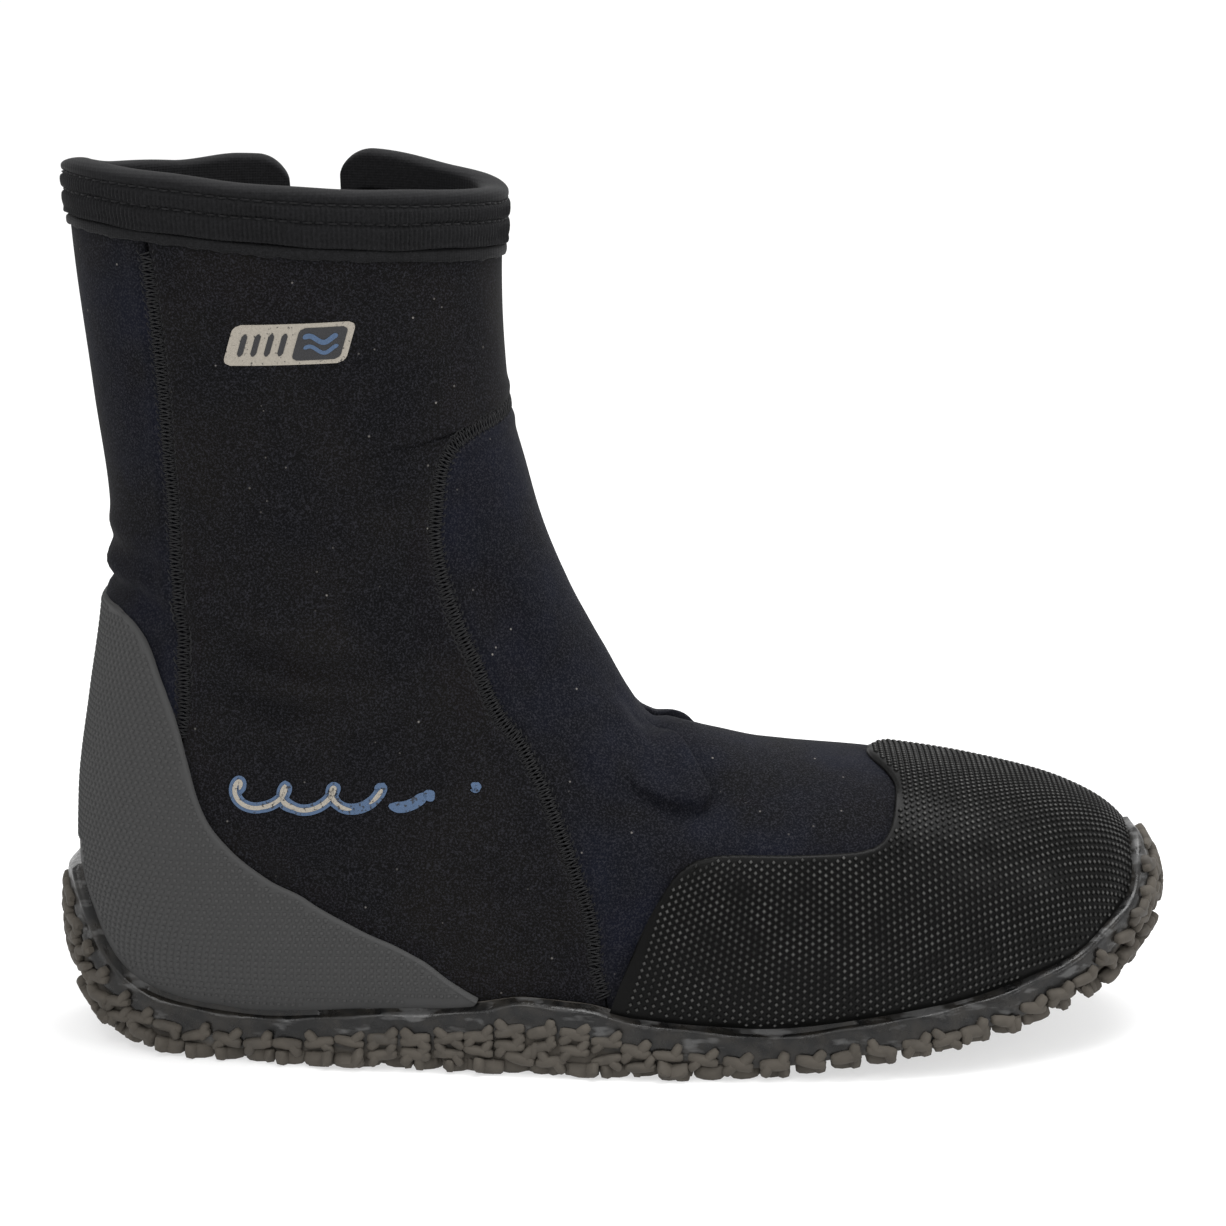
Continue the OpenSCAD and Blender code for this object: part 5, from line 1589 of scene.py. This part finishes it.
def slanted_box(x0, x1, z0, z1, radius, slant=0.32, count=28, rows=12):
    """Rows of points filling a slanted box with rounded corners."""
    grid = []
    for v in np.linspace(-1, 1, rows):
        z = mix(z0, z1, (v + 1) / 2)
        inset = radius - math.sqrt(max(radius**2 - max(0.0, radius - min(z - z0, z1 - z))**2, 0))
        grid.append([(x + slant * (z - (z0 + z1) / 2), z)
                     for x in np.linspace(x0 + inset, x1 - inset, count)])
    return grid


def stroke(points, width, rows=5, pieces=60):
    """Rows of points along a smooth open stroke of a given width."""
    points = np.array(points, float)
    run = np.arange(len(points))
    at = np.linspace(0, len(points) - 1, pieces)
    line = np.stack([np.interp(at, run, points[:, k]) for k in range(2)], -1)
    along = unit(np.gradient(line, axis=0))
    side = np.stack([-along[:, 1], along[:, 0]], -1)
    from_end = np.minimum(np.arange(pieces), np.arange(pieces)[::-1])
    taper = width / 2 * np.minimum(1, np.sqrt(from_end / 4 + 0.05))
    return [line + side * (taper * f)[:, None] for f in np.linspace(-1, 1, rows)]


BADGE = Route([(16.5 - 0.01 * k, t) for k, t in enumerate(np.linspace(66, 117, 8))], 0.5)


def make_badge():
    """A plain printed badge: a sand tablet with slanted bars, and a dark field with a wave."""
    sand = print_material("print_sand", tone("sand"), tone("neoprene"), 0.15)
    dark = print_material("print_dark", (0.012, 0.012, 0.014), tone("neoprene"), 0.0)
    blue = print_material("print_blue", tone("blue"), tone("neoprene"), 0.1)
    tablet = Stock()
    print_patch(tablet, BADGE, slanted_box(-15.6, 15.6, -5.3, 5.3, 2.0, count=50, rows=20), 0.3)
    tablet.piece("badge_tablet", "badge_print", sand, ["shaft_badge"])
    field = Stock()
    print_patch(field, BADGE, slanted_box(1.6, 13.9, -4.2, 4.2, 1.4, count=24, rows=16), 0.42)
    for k in range(4):
        x = -12.6 + 3.4 * k
        print_patch(field, BADGE, slanted_box(x, x + 1.5, -2.9, 2.9, 0.5, count=5, rows=9), 0.42)
    field.piece("badge_field", "badge_print", dark)
    wave = Stock()
    for level, width in ((1.2, 1.3), (-1.5, 1.0)):
        line = [(x, level + 0.9 * math.sin((x - 3.2) * 0.85)) for x in np.linspace(3.6, 12.4, 40)]
        print_patch(wave, BADGE, stroke(line, width), 0.54)
    wave.piece("badge_wave", "badge_print", blue)


MOTIF = Route([(11.45, 73), (11.17, 84), (10.89, 92), (10.55, 99.5), (10.2, 106), (9.9, 110.5),
               (9.6, 114.5), (9.35, 117.5), (9.11, 120)], 0.5)
MOTIF_HALF_LENGTH = (len(MOTIF) - 1) * MOTIF.step / 2 - 1


def motif_line(start, end, count):
    """The side print's line: rolling waves that lean forward and shrink."""
    line = []
    for u in np.linspace(start, end, count):
        x = mix(-MOTIF_HALF_LENGTH, MOTIF_HALF_LENGTH, u)
        size = mix(3.7, 1.9, u)
        phase = 2 * math.pi * 5.5 * u
        line.append((x + 0.9 * size * math.sin(phase + 1.3), size * math.sin(phase)))
    return line


def make_side_motif():
    """A plain printed wave along the outer side, rubbed away towards the front."""
    blue = print_material("motif_blue", tone("blue"), tone("neoprene"), 0.45)
    pale = print_material("motif_pale", tone("sand"), tone("neoprene"), 0.35)
    edge, fill = Stock(), Stock()
    for start, end in ((0.0, 0.62), (0.66, 0.74), (0.79, 0.83), (0.93, 0.99)):
        pieces = max(12, int(260 * (end - start)))
        print_patch(edge, MOTIF, stroke(motif_line(start, end, pieces * 2), 3.0, 7, pieces), 0.28)
    for start, end in ((0.012, 0.5), (0.53, 0.58)):
        pieces = max(12, int(260 * (end - start)))
        print_patch(fill, MOTIF, stroke(motif_line(start, end, pieces * 2), 1.15, 3, pieces), 0.42)
    edge.piece("motif_outline", "motif_print", blue, ["side_motif"])
    fill.piece("motif_fill", "motif_print", pale)


# ---- The stage ----

TARGET = Vector((-0.0005, 0, 0.1135))
VIEW_DISTANCE, VIEW_ELEVATION, VIEW_WIDTH, SENSOR = 1.2, 12.6, 0.3255, 36.0


def area_light(name, place, aim, size, power):
    light = bpy.data.lights.new(name, "AREA")
    light.shape = "RECTANGLE"
    light.size, light.size_y = size
    light.energy = power
    obj = bpy.data.objects.new(name, light)
    bpy.context.scene.collection.objects.link(obj)
    obj.location = place
    obj.rotation_euler = (Vector(aim) - Vector(place)).to_track_quat("-Z", "Y").to_euler()


def make_stage():
    """A pale floor that curves up all round, soft lights and the camera."""
    floor = bpy.data.meshes.new("studio_floor")
    wide, cove, tall, sides = 3.2, 0.9, 3.0, 64
    profile = [(0.4, 0.0), (wide - cove, 0.0)]
    profile += [(wide - cove + cove * math.sin(a), cove - cove * math.cos(a))
                for a in np.linspace(0.12, math.pi / 2, 12)]
    profile.append((wide, tall))
    turn = np.arange(sides) * 2 * np.pi / sides
    points = [(r * math.cos(a), r * math.sin(a), z) for r, z in profile for a in turn]
    faces = [(k * sides + (j + 1) % sides, k * sides + j,
              (k + 1) * sides + j, (k + 1) * sides + (j + 1) % sides)
             for k in range(len(profile) - 1) for j in range(sides)]
    floor.from_pydata(points, [], faces + [tuple(range(sides))])
    floor.shade_smooth()
    obj = bpy.data.objects.new("studio_floor", floor)
    bpy.context.scene.collection.objects.link(obj)
    floor.materials.append(stage_material("studio_paper", (0.4, 0.4, 0.4), 0.6))
    area_light("key", (-0.5, -1.1, 1.5), (0, 0, 0.1), (0.9, 0.8), 9)
    area_light("top", (0.3, 0.1, 1.5), (0.03, 0, 0.08), (1.0, 0.9), 22)
    area_light("front", (1.3, -0.9, 0.8), (0.05, 0, 0.08), (0.6, 0.7), 5)
    world = bpy.data.worlds.new("studio")
    world.use_nodes = True
    world.node_tree.nodes["Background"].inputs[0].default_value = (1, 1, 1, 1)
    world.node_tree.nodes["Background"].inputs[1].default_value = 0.9
    bpy.context.scene.world = world
    bpy.context.scene.view_settings.view_transform = "Standard"
    camera = bpy.data.cameras.new("camera")
    camera.sensor_width = SENSOR
    camera.lens = SENSOR * VIEW_DISTANCE / VIEW_WIDTH
    camera.dof.use_dof = False
    eye = bpy.data.objects.new("camera", camera)
    bpy.context.scene.collection.objects.link(eye)
    rise = math.radians(VIEW_ELEVATION)
    eye.location = TARGET + VIEW_DISTANCE * Vector((0, -math.cos(rise), math.sin(rise)))
    eye.rotation_euler = (TARGET - eye.location).to_track_quat("-Z", "Y").to_euler()
    bpy.context.scene.camera = eye


# ---- Operators and the panel ----

class BOOT_OT_foam_panels(bpy.types.Operator):
    """Make the foam panels of the upper"""
    bl_idname = "boot.foam_panels"
    bl_label = "Foam Panels"

    def execute(self, context):
        make_panels()
        return {"FINISHED"}


class BOOT_OT_footbed(bpy.types.Operator):
    """Make the footbed"""
    bl_idname = "boot.footbed"
    bl_label = "Footbed"

    def execute(self, context):
        make_footbed()
        return {"FINISHED"}


class BOOT_OT_toe_cap(bpy.types.Operator):
    """Make the dotted rubber toe cap"""
    bl_idname = "boot.toe_cap"
    bl_label = "Toe Cap"

    def execute(self, context):
        make_toe_cap()
        return {"FINISHED"}


class BOOT_OT_heel_cap(bpy.types.Operator):
    """Make the dotted rubber heel cap"""
    bl_idname = "boot.heel_cap"
    bl_label = "Heel Cap"

    def execute(self, context):
        make_heel_cap()
        return {"FINISHED"}


class BOOT_OT_outsole(bpy.types.Operator):
    """Make the outsole"""
    bl_idname = "boot.outsole"
    bl_label = "Outsole"

    def execute(self, context):
        make_outsole()
        return {"FINISHED"}


class BOOT_OT_tread(bpy.types.Operator):
    """Make the tread's lugs"""
    bl_idname = "boot.tread"
    bl_label = "Tread"

    def execute(self, context):
        make_tread()
        return {"FINISHED"}


class BOOT_OT_binding(bpy.types.Operator):
    """Make the ribbed collar binding"""
    bl_idname = "boot.binding"
    bl_label = "Collar Binding"

    def execute(self, context):
        make_binding()
        return {"FINISHED"}


class BOOT_OT_welt(bpy.types.Operator):
    """Make the welt under the binding"""
    bl_idname = "boot.welt"
    bl_label = "Collar Welt"

    def execute(self, context):
        make_welt()
        return {"FINISHED"}


class BOOT_OT_binding_stitches(bpy.types.Operator):
    """Make the binding's stitches"""
    bl_idname = "boot.binding_stitches"
    bl_label = "Binding Stitches"

    def execute(self, context):
        make_binding_stitches()
        return {"FINISHED"}


class BOOT_OT_seams(bpy.types.Operator):
    """Make the overlocked seams"""
    bl_idname = "boot.seams"
    bl_label = "Seams"

    def execute(self, context):
        make_seams()
        return {"FINISHED"}


class BOOT_OT_zip_tapes(bpy.types.Operator):
    """Make the zip's tapes"""
    bl_idname = "boot.zip_tapes"
    bl_label = "Zip Tapes"

    def execute(self, context):
        make_zip_tapes()
        return {"FINISHED"}


class BOOT_OT_zip_flap(bpy.types.Operator):
    """Make the flap behind the zip"""
    bl_idname = "boot.zip_flap"
    bl_label = "Water Flap"

    def execute(self, context):
        make_zip_flap()
        return {"FINISHED"}


class BOOT_OT_zip_teeth(bpy.types.Operator):
    """Make the zip's teeth and stops"""
    bl_idname = "boot.zip_teeth"
    bl_label = "Zip Teeth"

    def execute(self, context):
        make_zip_teeth()
        return {"FINISHED"}


class BOOT_OT_zip_stitches(bpy.types.Operator):
    """Make the stitching beside the zip"""
    bl_idname = "boot.zip_stitches"
    bl_label = "Zip Stitches"

    def execute(self, context):
        make_zip_stitches()
        return {"FINISHED"}


class BOOT_OT_slider(bpy.types.Operator):
    """Make the zip's slider"""
    bl_idname = "boot.slider"
    bl_label = "Slider"

    def execute(self, context):
        make_slider()
        return {"FINISHED"}


class BOOT_OT_pull(bpy.types.Operator):
    """Make the slider's pull"""
    bl_idname = "boot.pull"
    bl_label = "Pull"

    def execute(self, context):
        make_pull()
        return {"FINISHED"}


class BOOT_OT_badge(bpy.types.Operator):
    """Make the printed badge"""
    bl_idname = "boot.badge"
    bl_label = "Badge"

    def execute(self, context):
        make_badge()
        return {"FINISHED"}


class BOOT_OT_side_motif(bpy.types.Operator):
    """Make the printed side motif"""
    bl_idname = "boot.side_motif"
    bl_label = "Side Motif"

    def execute(self, context):
        make_side_motif()
        return {"FINISHED"}


class BOOT_OT_stage(bpy.types.Operator):
    """Make the floor, lights and camera"""
    bl_idname = "boot.stage"
    bl_label = "Stage"

    def execute(self, context):
        make_stage()
        return {"FINISHED"}


OPERATORS = [
    BOOT_OT_foam_panels,
    BOOT_OT_footbed,
    BOOT_OT_toe_cap,
    BOOT_OT_heel_cap,
    BOOT_OT_outsole,
    BOOT_OT_tread,
    BOOT_OT_binding,
    BOOT_OT_welt,
    BOOT_OT_binding_stitches,
    BOOT_OT_seams,
    BOOT_OT_zip_tapes,
    BOOT_OT_zip_flap,
    BOOT_OT_zip_teeth,
    BOOT_OT_zip_stitches,
    BOOT_OT_slider,
    BOOT_OT_pull,
    BOOT_OT_badge,
    BOOT_OT_side_motif,
    BOOT_OT_stage,
]


class BOOT_PT_maker(bpy.types.Panel):
    """Lists the boot's sizes, its colours and the steps that make it"""
    bl_label = "Dive Boot"
    bl_idname = "BOOT_PT_maker"
    bl_space_type = "VIEW_3D"
    bl_region_type = "UI"
    bl_category = "Dive Boot"

    def draw(self, context):
        for group in (context.scene.boot_sizes, context.scene.boot_colours):
            column = self.layout.column()
            for name in group.__annotations__:
                column.prop(group, name)
        for operator in OPERATORS:
            self.layout.operator(operator.bl_idname)


CLASSES = [BootSizes, BootColours, *OPERATORS, BOOT_PT_maker]


def register():
    for kind in CLASSES:
        bpy.utils.register_class(kind)
    bpy.types.Scene.boot_sizes = PointerProperty(type=BootSizes)
    bpy.types.Scene.boot_colours = PointerProperty(type=BootColours)


def unregister():
    del bpy.types.Scene.boot_colours
    del bpy.types.Scene.boot_sizes
    for kind in reversed(CLASSES):
        bpy.utils.unregister_class(kind)


def main():
    register()
    for operator in OPERATORS:
        getattr(bpy.ops.boot, operator.bl_idname.split(".")[1])()


if __name__ == "__main__":
    main()
